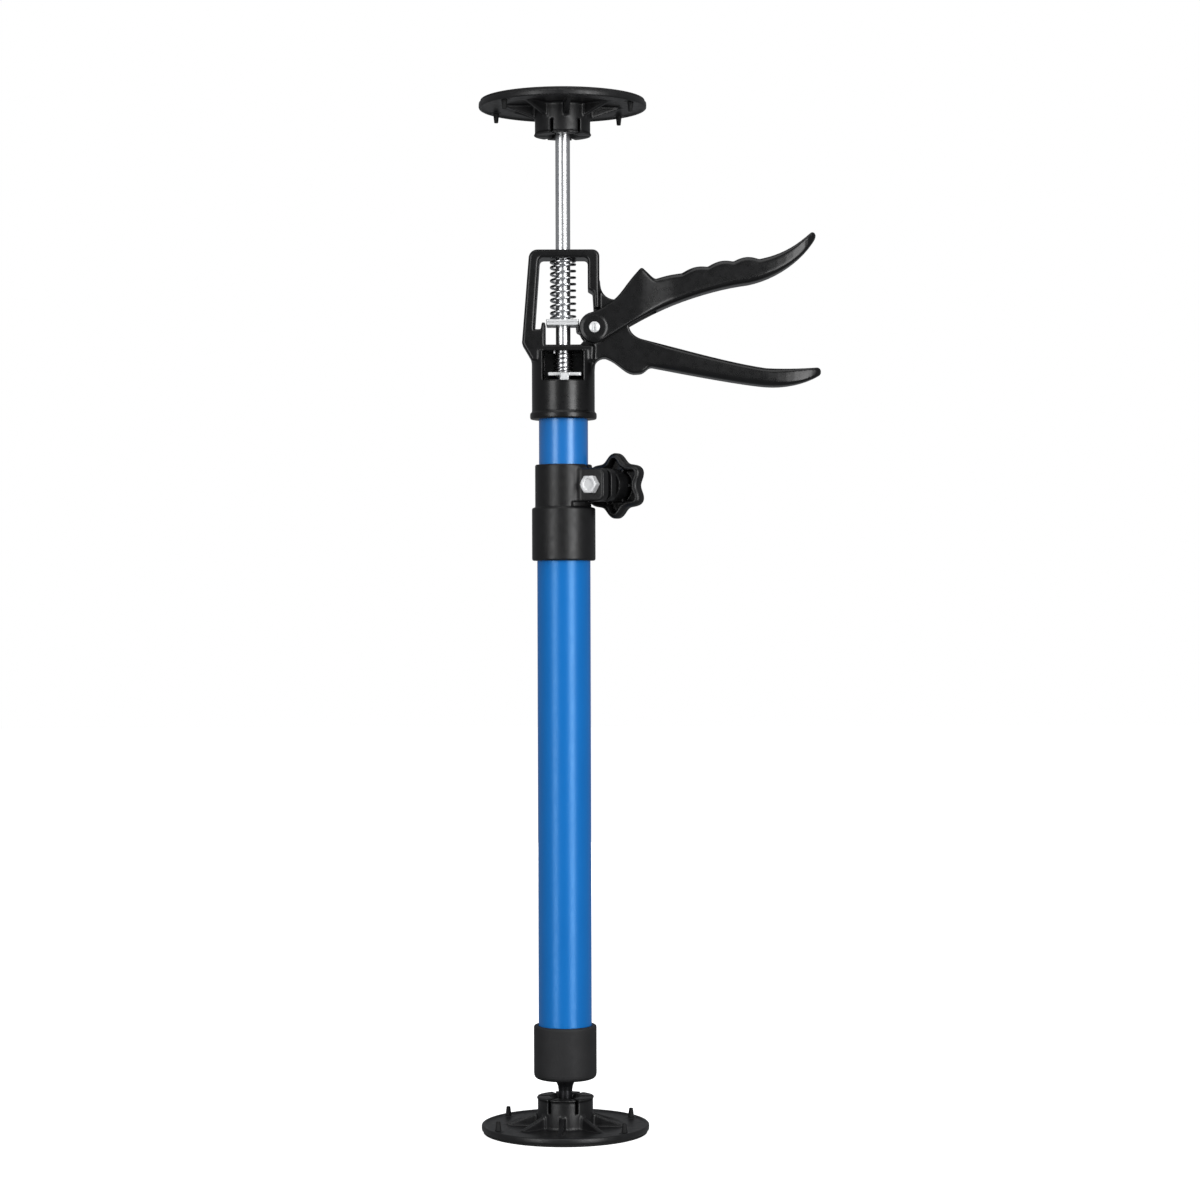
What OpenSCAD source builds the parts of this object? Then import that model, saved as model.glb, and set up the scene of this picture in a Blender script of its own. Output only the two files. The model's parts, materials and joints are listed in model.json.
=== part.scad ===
// Telescopic quick-grip support pole.
// A thin tube slides in a thicker one and a split collar with a star knob locks it.
// A trigger grip on top jacks a round push rod upward, and a round pad swivels and
// tilts on a ball at each end.
// +Z runs up the pole, the origin is the centre of the foot's face, the handles
// point to +X and the open front of the grip faces -Y.

/* [Pads] */
// Radius of the foot pad and the head pad
pad_r = 40; // [37:0.5:44]
// Thickness of the rubber facing on each pad
facing_t = 1.2; // [0.8:0.1:1.6]
// Thickness of a pad's moulded plate
plate_t = 1.4; // [1.2:0.1:1.6]
// Radius of the socket hub in the middle of a pad
hub_r = 13.2; // [12.8:0.1:13.6]
// Height of the hub's mouth above the pad's face
hub_h = 17; // [16.5:0.1:17.5]
// Radius of the ball on each end of the pole
ball_r = 6.5; // [6.3:0.05:6.6]
// Number of ribs on each pad
rib_count = 8; // [4:1:8]

/* [Pole] */
// Outer diameter of the lower tube
outer_od = 25.4; // [25.2:0.1:25.6]
// Wall thickness of both tubes
tube_wall = 0.8; // [0.7:0.05:0.9]
// Radial gap between the two tubes
tube_gap = 0.2; // [0.15:0.05:0.25]
// Length of the lower tube
outer_len = 266.8; // [260:1:400]
// Length of the upper tube
inner_len = 293; // [290:1:300]
// Height of the foot cap
cap_h = 25.5; // [24:0.5:30]
// Length of upper tube that shows between the collar and the grip
tube_show = 21.5; // [20:0.5:180]

/* [Clamp] */
// Direction that the clamp's ears point, as a turn about the pole from +X
clamp_turn = -31; // [-60:1:60]
// Outer radius of the collar's sleeve, which sits on the lower tube
sleeve_r = 15.15; // [14.8:0.05:15.4]
// Outer radius of the collar's split ring, which grips the upper tube
ring_r = 13.6; // [13.4:0.05:13.8]
// Height of the split ring
ring_h = 20.5; // [20:0.5:24]
// Width of the slit between the two ears
slit_w = 2.5; // [2:0.1:3]
// Mean radius of the star knob
knob_r = 14.1; // [13:0.1:15]
// Height of the star knob's lobes above and below its mean radius
lobe_h = 1.6; // [1:0.1:2]
// Number of lobes on the star knob
lobe_count = 6; // [5:1:8]

/* [Grip] */
// Outer radius of the grip's socket, which holds the upper tube
socket_r = 15; // [14.8:0.1:15.5]
// Half of the depth of the grip's open frame, front to back
frame_y = 9.6; // [9:0.1:10]
// Half of the thickness of the grip's lug between the trigger's cheeks
lug_y = 6.7; // [6:0.1:6.8]
// Distance of the trigger's pivot to the side of the pole's axis
pivot_x = 15; // [14.8:0.1:15.2]
// Height of the trigger's pivot above the grip's lower edge
pivot_h = 43.2; // [43:0.1:43.4]
// Radius of the trigger's round end at the pivot
cheek_r = 7.4; // [7:0.1:7.4]
// Radius of the push rod
rod_r = 3.5; // [3.2:0.1:3.5]
// Height of the head's face above the grip's lower edge
head_rise = 152.2; // [145:0.1:200]

/* [Hidden] */
$fn = 64;
nothing = 0.01;
fit_gap = 0.05; // running fits and pieces that sit in one another
play = 0.3; // pieces on different bodies that only pass each other
face_gap = 0.15; // flat faces that turn on each other

// Pads, measured from the pad's own face
socket_z = 9.5;
lip_w = 1.4;
lip_z = 4;
ring_in = 28;
band_z = 3.2;
rib_w = 2;
rib_foot_z = 9.2;
mouth_z = socket_z + 3.9;
slot_count = 6;
slot_z = socket_z + 0.7;
slot_w = 1.6;
foot_turn = -5;
head_turn = 7.5;
mouth_r = ball_r - 0.9;
mouth_top_r = ball_r + 1;
nub_r = 1.25;
nub_h = 8;
nub_ring_r = pad_r - 4;
nub_angles = [34, 146, 214, 326];

// Pole levels
neck_r = 3.3;
flange_r = 5.3;
cap_z = hub_h + 8.5;
cap_floor = 3.7;
cap_r = outer_od / 2 + 2.3;
tube_z = cap_z + cap_floor;
outer_r = outer_od / 2;
outer_bore = outer_r - tube_wall;
outer_top = tube_z + outer_len;
inner_r = outer_bore - tube_gap;
inner_bore = inner_r - tube_wall;
sleeve_h = 25.3;
ring_z = outer_top + 1.8;
sleeve_z = ring_z - sleeve_h;
ring_top = ring_z + ring_h;
grip_z = ring_top + tube_show;
inner_top = grip_z + 17.2;
inner_z = inner_top - inner_len;
head_z = grip_z + head_rise;

// M8 foot stud
stud_r = 4;
stud_nut_af = 13;
stud_nut_h = 6.5;

// Clamp ears, bolt and knob, in a frame whose +X points along the ears
ear_y = 6.25;
ear_x = 25.9;
ear_z = ring_z + 2.6;
ear_top = ring_top - 2.1;
ear_corner = 4;
bolt_x = 19.3;
bolt_z = (ear_z + ear_top) / 2;
bolt_r = 2.5;
bolt_head_af = 8;
bolt_head_h = 3.5;
bolt_end = 16.4;
washer_t = 1;
knob_y = ear_y + washer_t + 0.1;
knob_boss_r = 7.5;
knob_boss_h = 6.1;
knob_h = 13.4;
insert_r = 4;

// Grip frame and lock, measured from the grip's lower edge
socket_top = 32.4;
web_top = 35.2;
frame_x = 17.4;
frame_top = 80.3;
frame_roof = 76.4;
pocket_z = 18.3;
cheek_top = 52.6;
pocket_x = 9.7;
ledge_z = 42.5;
ledge_x = -8.4;
rod_hole_r = rod_r + 0.08;
lock_z = 21.8;
lock_t = 1.6;
lock_w = 15.8;
lock_shift = 0.8;
lock_back_y = 9;
lock_front_y = -13;
lock_tilt = 4.5;
tab_w = 4;
drive_z = 44.5;
drive_t = 1.38;
drive_y = 8;
drive_x = [-8, 7.6];
drive_top = drive_z + 2 * drive_t + fit_gap;
nose_x = 7.6;
nose_h = 42.7;
nose_r = 1.5;
boss_r = 5.4;

// Trigger
cheek_y = [7.1, 10.3];
lever_y = 8.6;
fork_r = 30.5;
pin_r = 2;

black = "#222327";
rubber = "#151517";
blue = "#1f6fc2";
steel = "#c9ccd0";
zinc = "#b4b7ba";
brass = "#c9a24a";

// A cubic curve from p[0] to p[3], without its first point
function curve(p, n = 8) = [
  for (i = [1:n]) let (t = i / n, s = 1 - t)
    s*s*s*p[0] + 3*s*s*t*p[1] + 3*s*t*t*p[2] + t*t*t*p[3]
];

// Points of an arc about c, from angle a to angle b
function arc(c, r, a, b, n = 8) = [
  for (i = [0:n]) let (u = a + (b - a) * i / n) c + r * [cos(u), sin(u)]
];

// Lays an outline drawn in X and Z flat across the depth from y0 to y1
module slab(y0, y1) {
  translate([0, y1, 0])
    rotate([90, 0, 0])
      linear_extrude(height = y1 - y0)
        children();
}

// A round bar along Y
module bar_y(x, z, r, y0, y1) {
  translate([x, y1, z])
    rotate([90, 0, 0])
      cylinder(r = r, h = y1 - y0);
}

// A tube standing on z
module pipe(z, h, r_out, r_in) {
  translate([0, 0, z])
    difference() {
      cylinder(r = r_out, h = h);
      translate([0, 0, -1])
        cylinder(r = r_in, h = h + 2);
    }
}

// A round post whose bottom and top edges are rounded by r0 and r1
module soft_post(z, h, r, r0, r1) {
  translate([0, 0, z])
    rotate_extrude()
      polygon(concat(
        [[0, 0]],
        arc([r - r0, r0], r0, -90, 0, 5),
        arc([r - r1, h - r1], r1, 0, 90, 5),
        [[0, h]]
      ));
}

// A hexagon nut or bolt head, af across its flats, standing on z
module hexagon(z, h, af) {
  translate([0, 0, z])
    cylinder(r = af / 2 / cos(30), h = h, $fn = 6);
}

// A wire wound up the Z axis, from z0 to z1, swept with sides around the wire
module coil(z0, z1, r, wire_r, turns, steps = 16, sides = 8) {
  count = turns * steps;
  rise = (z1 - z0 - 2 * wire_r) / count;
  points = [
    for (i = [0:count]) for (j = [0:sides - 1])
      let (a = 360 * i / steps, b = 360 * j / sides, q = r + wire_r * cos(b))
        [q * cos(a), q * sin(a), z0 + wire_r + rise * i + wire_r * sin(b)]
  ];
  sleeve = [
    for (i = [0:count - 1]) for (j = [0:sides - 1])
      let (k = (j + 1) % sides)
        [i*sides + j, i*sides + k, (i + 1)*sides + k, (i + 1)*sides + j]
  ];
  start = [[for (j = [sides - 1:-1:0]) j]];
  end = [[for (j = [0:sides - 1]) count * sides + j]];
  polyhedron(points = points, faces = concat(sleeve, start, end));
}

// ---------------------------------------------------------------- pads

// Side of one sloping rib, from the hub out to the plate's raised band
module rib_side() {
  end_x = ring_in + 2;
  polygon(concat(
    [[hub_r - 1, facing_t + plate_t / 2], [hub_r - 1, rib_foot_z]],
    curve([
      [hub_r - 1, rib_foot_z], [17, rib_foot_z - 1.8],
      [23, band_z + 1.6], [end_x, band_z - 0.3]
    ]),
    [[end_x, facing_t + plate_t / 2]]
  ));
}

// Round plate with a raised band, a lip, ribs and a split ball socket, its face down
module pad_disc() {
  difference() {
    union() {
      translate([0, 0, facing_t])
        rotate_extrude()
          polygon([
            [0, 0], [pad_r - 0.7, 0], [pad_r, 0.7], [pad_r, lip_z - facing_t - 0.5],
            [pad_r - 0.5, lip_z - facing_t], [pad_r - lip_w, lip_z - facing_t],
            [pad_r - lip_w - 0.6, band_z - facing_t], [ring_in, band_z - facing_t],
            [ring_in - 1, plate_t], [0, plate_t]
          ]);
      translate([0, 0, facing_t])
        cylinder(r = hub_r, h = hub_h - facing_t);
      translate([0, 0, hub_h - 0.9])
        cylinder(r = hub_r + 0.5, h = 0.9);
      for (i = [0:rib_count - 1])
        rotate([0, 0, 360 * i / rib_count])
          slab(-rib_w / 2, rib_w / 2)
            rib_side();
    }
    translate([0, 0, socket_z])
      sphere(r = ball_r + face_gap);
    rotate_extrude()
      polygon([
        [0, mouth_z - 1.5], [mouth_r, mouth_z - 1.5], [mouth_r, mouth_z],
        [mouth_top_r, hub_h + nothing], [mouth_top_r, hub_h + 1], [0, hub_h + 1]
      ]);
    for (i = [0:slot_count - 1])
      rotate([0, 0, 360 * i / slot_count])
        translate([mouth_r - 2, -slot_w / 2, slot_z])
          cube([hub_r - mouth_r + 3, slot_w, hub_h]);
    for (a = nub_angles)
      rotate([0, 0, a])
        translate([nub_ring_r, 0, 0])
          cylinder(r = nub_r + 0.15, h = hub_h);
  }
}

// Rubber facing with four pull-through nubs that lock it to the plate
module pad_facing() {
  cylinder(r = pad_r - 0.8, h = facing_t - nothing);
  for (a = nub_angles)
    rotate([0, 0, a])
      translate([nub_ring_r, 0, facing_t / 2]) {
        cylinder(r = nub_r, h = nub_h - facing_t / 2 - 2);
        translate([0, 0, nub_h - facing_t / 2 - 2])
          cylinder(r1 = nub_r, r2 = nub_r - 0.3, h = 2);
      }
}

// Turns a pad a little about the pole, as it sits on the foot
module at_foot() {
  rotate([0, 0, foot_turn])
    children();
}

// Turns a pad over, as it sits on the head
module at_head() {
  translate([0, 0, head_z])
    rotate([180, 0, head_turn])
      children();
}

module foot_disc() {
  color(black) at_foot() pad_disc();
}

module foot_rubber() {
  color(rubber) at_foot() pad_facing();
}

module head_disc() {
  color(black) at_head() pad_disc();
}

module head_rubber() {
  color(rubber) at_head() pad_facing();
}

// ---------------------------------------------------------------- foot end

// Ball, waisted neck and flange in one turning, with a threaded shank above
module foot_ball_stud() {
  flange_z = cap_z - face_gap;
  color(black) {
    translate([0, 0, socket_z])
      sphere(r = ball_r);
    rotate_extrude()
      polygon(concat(
        [[0, socket_z], [neck_r, socket_z], [neck_r, flange_z - 6]],
        curve([
          [neck_r, flange_z - 6], [neck_r + 0.1, flange_z - 4],
          [neck_r + 0.9, flange_z - 1.5], [neck_r + 1.3, flange_z - 0.6]
        ], 6),
        [[flange_r, flange_z - 0.6], [flange_r, flange_z], [0, flange_z]]
      ));
    translate([0, 0, flange_z - nothing])
      cylinder(r = stud_r, h = cap_floor + stud_nut_h + 2.2);
  }
}

// Nut that holds the stud in the foot cap
module foot_stud_nut() {
  color(zinc)
    difference() {
      hexagon(tube_z + face_gap, stud_nut_h, stud_nut_af);
      cylinder(r = stud_r + 0.02, h = tube_z + 20);
    }
}

// Cup that closes the lower tube and carries the foot stud
module foot_cap() {
  color(black)
    difference() {
      soft_post(cap_z, cap_h, cap_r, 2.6, 1.2);
      translate([0, 0, tube_z])
        cylinder(r = outer_r + 0.02, h = cap_h);
      translate([0, 0, cap_z - 1])
        cylinder(r = stud_r + fit_gap + 0.03, h = cap_floor + 2);
    }
}

module outer_tube() {
  color(blue) pipe(tube_z + 0.02, outer_len, outer_r, outer_bore);
}

// ---------------------------------------------------------------- clamp

// One sleeve on the lower tube, one split ring on the upper tube, and two ears
module clamp_collar() {
  color(black)
    difference() {
      union() {
        soft_post(sleeve_z, sleeve_h, sleeve_r, 0.8, 0.9);
        soft_post(ring_z - 2, ring_h + 2, ring_r, 0.3, 0.6);
        rotate([0, 0, clamp_turn])
          clamp_ears();
      }
      translate([0, 0, sleeve_z - 1])
        cylinder(r = outer_r + 0.02, h = outer_top - sleeve_z + 1.1);
      translate([0, 0, sleeve_z])
        cylinder(r = inner_r + 0.1, h = sleeve_h + ring_h + 1);
      rotate([0, 0, clamp_turn]) {
        translate([0, -slit_w / 2, ear_z])
          cube([40, slit_w, ring_h]);
        difference() {
          translate([10, -20, ring_z + 0.4])
            cube([30, 40, ear_z - ring_z - 0.4]);
          cylinder(r = ring_r - 0.7, h = ear_z + 1);
        }
        bar_y(bolt_x, bolt_z, bolt_r + 0.1, -10, 10);
      }
    }
}

// Block that the slit parts into two ears, with rounded outer corners
module clamp_ears() {
  slab(-ear_y, ear_y) {
    translate([9, ear_z])
      square([ear_x - ear_corner - 9, ear_top - ear_z]);
    translate([9, ear_z + ear_corner])
      square([ear_x - 9, ear_top - ear_z - 2 * ear_corner]);
    for (z = [ear_z + ear_corner, ear_top - ear_corner])
      translate([ear_x - ear_corner, z])
        circle(r = ear_corner);
  }
}

// Stands a piece that is drawn along Z on the bolt's axis, from the ears outward
module on_bolt_axis() {
  rotate([0, 0, clamp_turn])
    translate([bolt_x, 0, bolt_z])
      rotate([-90, 0, 0])
        children();
}

module clamp_bolt() {
  color(steel)
    on_bolt_axis() {
      intersection() {
        hexagon(-ear_y - bolt_head_h, bolt_head_h, bolt_head_af);
        translate([0, 0, -ear_y - bolt_head_h])
          cylinder(r1 = bolt_head_af / 2 - 0.2, r2 = bolt_head_af, h = bolt_head_af);
      }
      translate([0, 0, -ear_y - nothing])
        cylinder(r = bolt_r, h = ear_y + bolt_end);
    }
}

module clamp_washer() {
  color(zinc)
    on_bolt_axis()
      pipe(ear_y + nothing, washer_t, 5, bolt_r + fit_gap);
}

// Outline of the knob, a circle with smooth lobes
module star_outline() {
  polygon([
    for (i = [0:71])
      let (a = 5 * i, r = knob_r + lobe_h * cos(lobe_count * a))
        r * [cos(a), sin(a)]
  ]);
}

module clamp_knob() {
  color(black)
    on_bolt_axis()
      difference() {
        union() {
          translate([0, 0, knob_y])
            cylinder(r = knob_boss_r, h = knob_boss_h + 1);
          translate([0, 0, knob_y + knob_boss_h])
            rotate([0, 0, 90])
              linear_extrude(height = knob_h - knob_boss_h)
                star_outline();
        }
        translate([0, 0, knob_y - 1])
          cylinder(r = insert_r + 0.02, h = 10.5);
      }
}

// Threaded metal bush moulded into the knob
module knob_insert() {
  color(brass)
    on_bolt_axis()
      pipe(knob_y, 9.2, insert_r, bolt_r + fit_gap);
}

// ---------------------------------------------------------------- sliding pole

// Plastic bush in the upper tube's lower end, which guides it in the lower tube
module guide_bush() {
  color(black)
    difference() {
      union() {
        translate([0, 0, inner_z - 4])
          cylinder(r = outer_bore - fit_gap, h = 4 - face_gap);
        translate([0, 0, inner_z - 4])
          cylinder(r = inner_bore - fit_gap, h = 12);
      }
      translate([0, 0, inner_z - 5])
        cylinder(r = inner_bore - 2.4, h = 14);
    }
}

module inner_tube() {
  color(blue) pipe(inner_z, inner_len, inner_r, inner_bore);
}

// ---------------------------------------------------------------- grip

// Outline of the open frame above the socket, as seen from the front
module frame_outline() {
  polygon(concat(
    [[-socket_r + 0.4, socket_top - 5], [-19.5, web_top + 0.6]],
    arc([-12.1, frame_top - 4.1], 4.1, 176, 90, 6),
    arc([frame_x - 3.2, frame_top - 3.2], 3.2, 90, 0, 6),
    [[frame_x, web_top + 2], [socket_r, web_top], [socket_r - 0.4, socket_top - 5]]
  ));
}

// Outline of the window in the frame
module window_outline() {
  polygon(concat(
    [[ledge_x, web_top], [ledge_x, ledge_z + 3.2], [ledge_x - 1.6, ledge_z + 3.2],
     [ledge_x - 2.2, ledge_z], [-13.5, ledge_z]],
    arc([-9.4, frame_roof - 1.8], 1.8, 176, 90, 4),
    arc([10, frame_roof - 1.8], 1.8, 90, 0, 4),
    [[11.8, 61.5], [14.3, 60], [14.8, 51.2], [pivot_x, pivot_h], [8.4, web_top]]
  ));
}

// Lug between the trigger's cheeks: web behind the pivot, boss and handle root
module lug_outline() {
  difference() {
    polygon(concat(
      [[8.4, web_top - 1], [12.4, pivot_h], [14.8, 51.2], [14.3, 60], [14.3, 65.2],
       [frame_x, 65.2]],
      curve([[frame_x, 65.2], [17.8, 60.5], [20, 57], [24.8, 56.7]], 6),
      curve([[24.8, 56.7], [29.6, 53.2], [31.5, 48.6], [31.4, 44.2]], 6),
      curve([[31.4, 44.2], [31.6, 41.6], [33.8, 39], [37.5, 37.9]], 6),
      [[40, 37.2], [42, 24.8]],
      curve([[42, 24.8], [39.8, 24.8], [39, 21.5], [35.5, 21.7]], 5),
      curve([[35.5, 21.7], [29.5, 20.6], [27, 27], [20.3, 29.2]], 7),
      curve([[20.3, 29.2], [17, 29.6], [14.9, 27.4], [14.4, 24]], 5),
      [[12, 24], [12, web_top - 1]]
    ));
    difference() {
      translate([pivot_x - 12, pivot_h - 7])
        square([7.2, 15]);
      translate([pivot_x, pivot_h])
        circle(r = boss_r);
    }
  }
  translate([pivot_x, pivot_h])
    circle(r = boss_r);
}

// Outline of the fixed lower handle, from its root out to its round tip
module handle_outline() {
  polygon(concat(
    [[34, 30], [36, 37.6], [37.5, 37.9]],
    curve([[37.5, 37.9], [52, 34.4], [78, 26.6], [96.5, 23.9]], 10),
    curve([[96.5, 23.9], [104, 23.5], [113, 23.5], [121.2, 24.4]], 6),
    arc([121.5, 22.4], 1.9, 80, -70, 5),
    curve([[122.2, 20.6], [115.5, 16.9], [106, 14.7], [96.5, 15.5]], 8),
    curve([[96.5, 15.5], [84, 16.6], [58, 21.7], [42, 24.8]], 10),
    [[34, 26]]
  ));
}

// Outline from above of a handle that runs out along +X: narrow at its root,
// full in the palm and rounded at its tip
module grip_plan(x0, root, palm, tip_x) {
  half = concat(
    [[x0, root], [36, root]],
    curve([[36, root], [43, root], [46, palm], [54, palm]], 6),
    curve([[92, palm], [106, palm], [116, palm - 1.8], [tip_x - 3.2, 4.6]], 6),
    curve([[tip_x - 3.2, 4.6], [tip_x - 1.2, 3.6], [tip_x, 2], [tip_x, 0]], 5)
  );
  polygon(concat(half, [for (i = [len(half) - 2:-1:0]) [half[i][0], -half[i][1]]]));
}

// The grip's one-piece moulding: socket, frame, lug and lower handle
module grip_body() {
  color(black)
    translate([0, 0, grip_z])
      difference() {
        union() {
          soft_post(0, 3.4, socket_r + 0.9, 0.8, 0.5);
          translate([0, 0, 2])
            cylinder(r = socket_r, h = socket_top - 2);
          difference() {
            slab(-frame_y, frame_y)
              frame_outline();
            slab(-frame_y - 1, frame_y + 1)
              window_outline();
            for (side = [-1, 1])
              translate([9.2, side * (lug_y + 6) - 6, web_top])
                cube([20, 12, cheek_top - web_top]);
          }
          slab(-lug_y, lug_y)
            lug_outline();
          intersection() {
            slab(-frame_y, frame_y)
              handle_outline();
            linear_extrude(height = 60)
              grip_plan(30, lug_y, 8.4, 123.4);
          }
        }
        translate([0, 0, -1])
          cylinder(r = inner_r + fit_gap, h = 1 + inner_top - grip_z + 0.05);
        translate([0, 0, 5])
          cylinder(r = inner_bore, h = pocket_z - 4);
        translate([-pocket_x, -20, pocket_z])
          cube([2 * pocket_x, 20 + lock_back_y - 1.5, socket_top - pocket_z]);
        translate([-pocket_x, 0, lock_z - 0.2])
          cube([2 * pocket_x, lock_back_y + 0.8, socket_top - lock_z + 0.2]);
        cylinder(r = rod_hole_r, h = 100);
        translate([0, 0, frame_roof - 1])
          cylinder(r = rod_hole_r, h = 10);
        bar_y(pivot_x, pivot_h, pin_r + fit_gap, -12, 12);
        translate([0, 0, 10.4])
          rotate([-90, 0, 0])
            cylinder(r = 1.65, h = 20);
      }
}

// Rivet at the back that holds the socket to the upper tube
module socket_rivet() {
  color(zinc)
    translate([0, 0, grip_z + 10.4])
      rotate([-90, 0, 0]) {
        translate([0, 0, inner_r + 0.1])
          cylinder(r = 1.6, h = socket_r - inner_r);
        translate([0, 0, socket_r + 0.02])
          rotate_extrude()
            polygon(concat([[0, 0]], curve([[3, 0], [3, 0.7], [1.8, 1.2], [0, 1.25]], 6)));
      }
}

// Side outline of the trigger: round end, thumb stop, finger ridges and tip
module lever_outline() {
  grip0 = [44.2, 66.3];
  grip1 = [93.3, 75.7];
  ridges = 4;
  ridge_h = 1.3;
  first_ridge_h = 0.5;
  belly = 9;
  polygon(concat(
    arc([pivot_x, pivot_h], cheek_r, 300, 105, 16),
    curve([[13.1, 50.35], [17.5, 51.3], [22, 54.4], [25.2, 57.2]], 4),
    curve([[25.2, 57.2], [28.6, 60.4], [30.5, 64.6], [36.6, 71.0]], 5),
    arc([37.5, 70.3], 1.1, 130, 40, 3),
    curve([[38.3, 71], [41.5, 68.2], [42.8, 66.4], grip0], 4),
    [for (i = [1:32])
      let (u = i / 32, h = u < 1 / ridges ? first_ridge_h : ridge_h)
        grip0 + u * (grip1 - grip0) + [0, belly * u * u * (1 - u) + h * abs(sin(180 * ridges * u))]],
    curve([grip1, [102, 77.4], [109.5, 80.5], [118.1, 88.6]], 7),
    arc([119.1, 87.1], 1.8, 120, -30, 5),
    curve([[120.6, 86.2], [115, 76.4], [102, 66.9], [88.2, 64.3]], 9),
    curve([[88.2, 64.3], [74, 62.6], [52.5, 56.6], [32.7, 45.4]], 9)
  ));
}

module trigger_lever() {
  wide = cheek_y[1] + 1;
  color(black)
    translate([0, 0, grip_z])
      difference() {
        union() {
          intersection() {
            slab(-wide, wide)
              lever_outline();
            linear_extrude(height = 100)
              grip_plan(0, cheek_y[1], lever_y, 121);
          }
          for (side = [-1, 1])
            bar_y(pivot_x, pivot_h, cheek_r - 1.6, side * (cheek_y[1] - 0.85) - 1.15,
                  side * (cheek_y[1] - 0.85) + 1.15);
        }
        difference() {
          bar_y(pivot_x, pivot_h, fork_r, -cheek_y[0], cheek_y[0]);
          bar_y(nose_x, nose_h, nose_r, -cheek_y[0] - 1, cheek_y[0] + 1);
        }
        bar_y(pivot_x, pivot_h, pin_r + fit_gap, -20, 20);
      }
  color(black)
    translate([0, 0, grip_z])
      bar_y(nose_x, nose_h, nose_r, -cheek_y[0] - 1, cheek_y[0] + 1);
}

// Slotted screw that the trigger turns on
module pivot_screw() {
  head_y = cheek_y[1] + 0.3 + face_gap;
  color(steel)
    translate([0, 0, grip_z]) {
      difference() {
        bar_y(pivot_x, pivot_h, 2.6, -head_y - 1.7, -head_y);
        translate([pivot_x - 0.35, -head_y - 2.7, pivot_h - 5])
          cube([0.7, 2, 10]);
      }
      bar_y(pivot_x, pivot_h, pin_r, -head_y - nothing, head_y + 4);
    }
}

module pivot_nut() {
  nut_y = cheek_y[1] + 0.3 + face_gap;
  color(zinc)
    difference() {
      translate([pivot_x, 0, grip_z + pivot_h])
        rotate([-90, 0, 0])
          hexagon(nut_y, 3.2, 7);
      translate([0, 0, grip_z])
        bar_y(pivot_x, pivot_h, pin_r + 0.02, -20, 20);
    }
}

// ---------------------------------------------------------------- push rod and jack

module push_rod() {
  rod_z = grip_z - 53.8;
  ball_z = head_z - socket_z;
  color(steel) {
    translate([0, 0, rod_z])
      cylinder(r = rod_r, h = ball_z - 4.2 - rod_z);
    translate([0, 0, ball_z - 5])
      cylinder(r = 2.95, h = 8);
    translate([0, 0, rod_z - 2])
      cylinder(r = 2.6, h = 3);
  }
}

// Washer riveted on the rod's lower end, which keeps the rod in the grip
module rod_stop() {
  color(zinc) pipe(grip_z - 53.8 - 1.8, 1.8 - 0.02, 6, 2.6 + 0.02);
}

// Two loose steel plates that bite the rod and lift it when the trigger's nose rises
module drive_plates() {
  color(steel)
    translate([0, 0, grip_z])
      for (i = [0, 1])
        translate([drive_x[0], -drive_y, drive_z + i * (drive_t + fit_gap)])
          difference() {
            cube([drive_x[1] - drive_x[0], 2 * drive_y, drive_t]);
            translate([-drive_x[0], drive_y, -1])
              cylinder(r = rod_r + play, h = drive_t + 2);
          }
}

// Spring that presses the drive plates down on the trigger's nose
module drive_spring() {
  color(steel)
    translate([0, 0, grip_z])
      coil(drive_top + 0.05, frame_roof - 0.05, 5.75, 0.62, 9);
}

// Steel plate that jams on the rod and holds the load; its tab is the release
module lock_plate() {
  color(steel)
    translate([0, lock_back_y, grip_z + lock_z])
      rotate([lock_tilt, 0, 0])
        difference() {
          union() {
            translate([lock_shift - lock_w / 2, lock_front_y - lock_back_y, 0])
              cube([lock_w, lock_back_y - lock_front_y, lock_t]);
            translate([lock_shift - tab_w / 2, lock_front_y - lock_back_y - 4.4, 0])
              cube([tab_w, 5, lock_t]);
            translate([lock_shift - tab_w / 2, lock_front_y - lock_back_y - 4.4, -2])
              cube([tab_w, lock_t, 3]);
          }
          translate([0, -lock_back_y, -1])
            rotate([-lock_tilt, 0, 0])
              cylinder(r = rod_r + play, h = 6, center = true);
        }
}

module lock_spring() {
  color(zinc)
    translate([0, 0, grip_z])
      coil(lock_z + lock_t + 1.1, socket_top - 0.05, 4.4, 0.42, 4);
}

// Ball on top of the rod
module head_ball() {
  color(black)
    translate([0, 0, head_z - socket_z])
      difference() {
        sphere(r = ball_r);
        translate([0, 0, -8])
          cylinder(r = 3, h = 11.2);
        translate([0, 0, -8])
          cylinder(r = rod_r + fit_gap, h = 8 - 4.1);
      }
}

outer_tube();
foot_cap();
foot_ball_stud();
foot_stud_nut();
foot_disc();
foot_rubber();
clamp_collar();
clamp_bolt();
clamp_washer();
clamp_knob();
knob_insert();
guide_bush();
inner_tube();
grip_body();
socket_rivet();
trigger_lever();
pivot_screw();
pivot_nut();
push_rod();
rod_stop();
drive_plates();
drive_spring();
lock_plate();
lock_spring();
head_ball();
head_disc();
head_rubber();
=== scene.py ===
"""Looks of a telescopic quick-grip support pole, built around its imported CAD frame.

Shapes are worked out in millimetres in the pole's own frame: +Z up the pole, the handles
towards +X, the grip's open front towards -Y. Each mesh is turned into metres as it is made.
"""

import json
import math

import bpy
import numpy as np
from mathutils import Matrix, Vector


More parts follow.
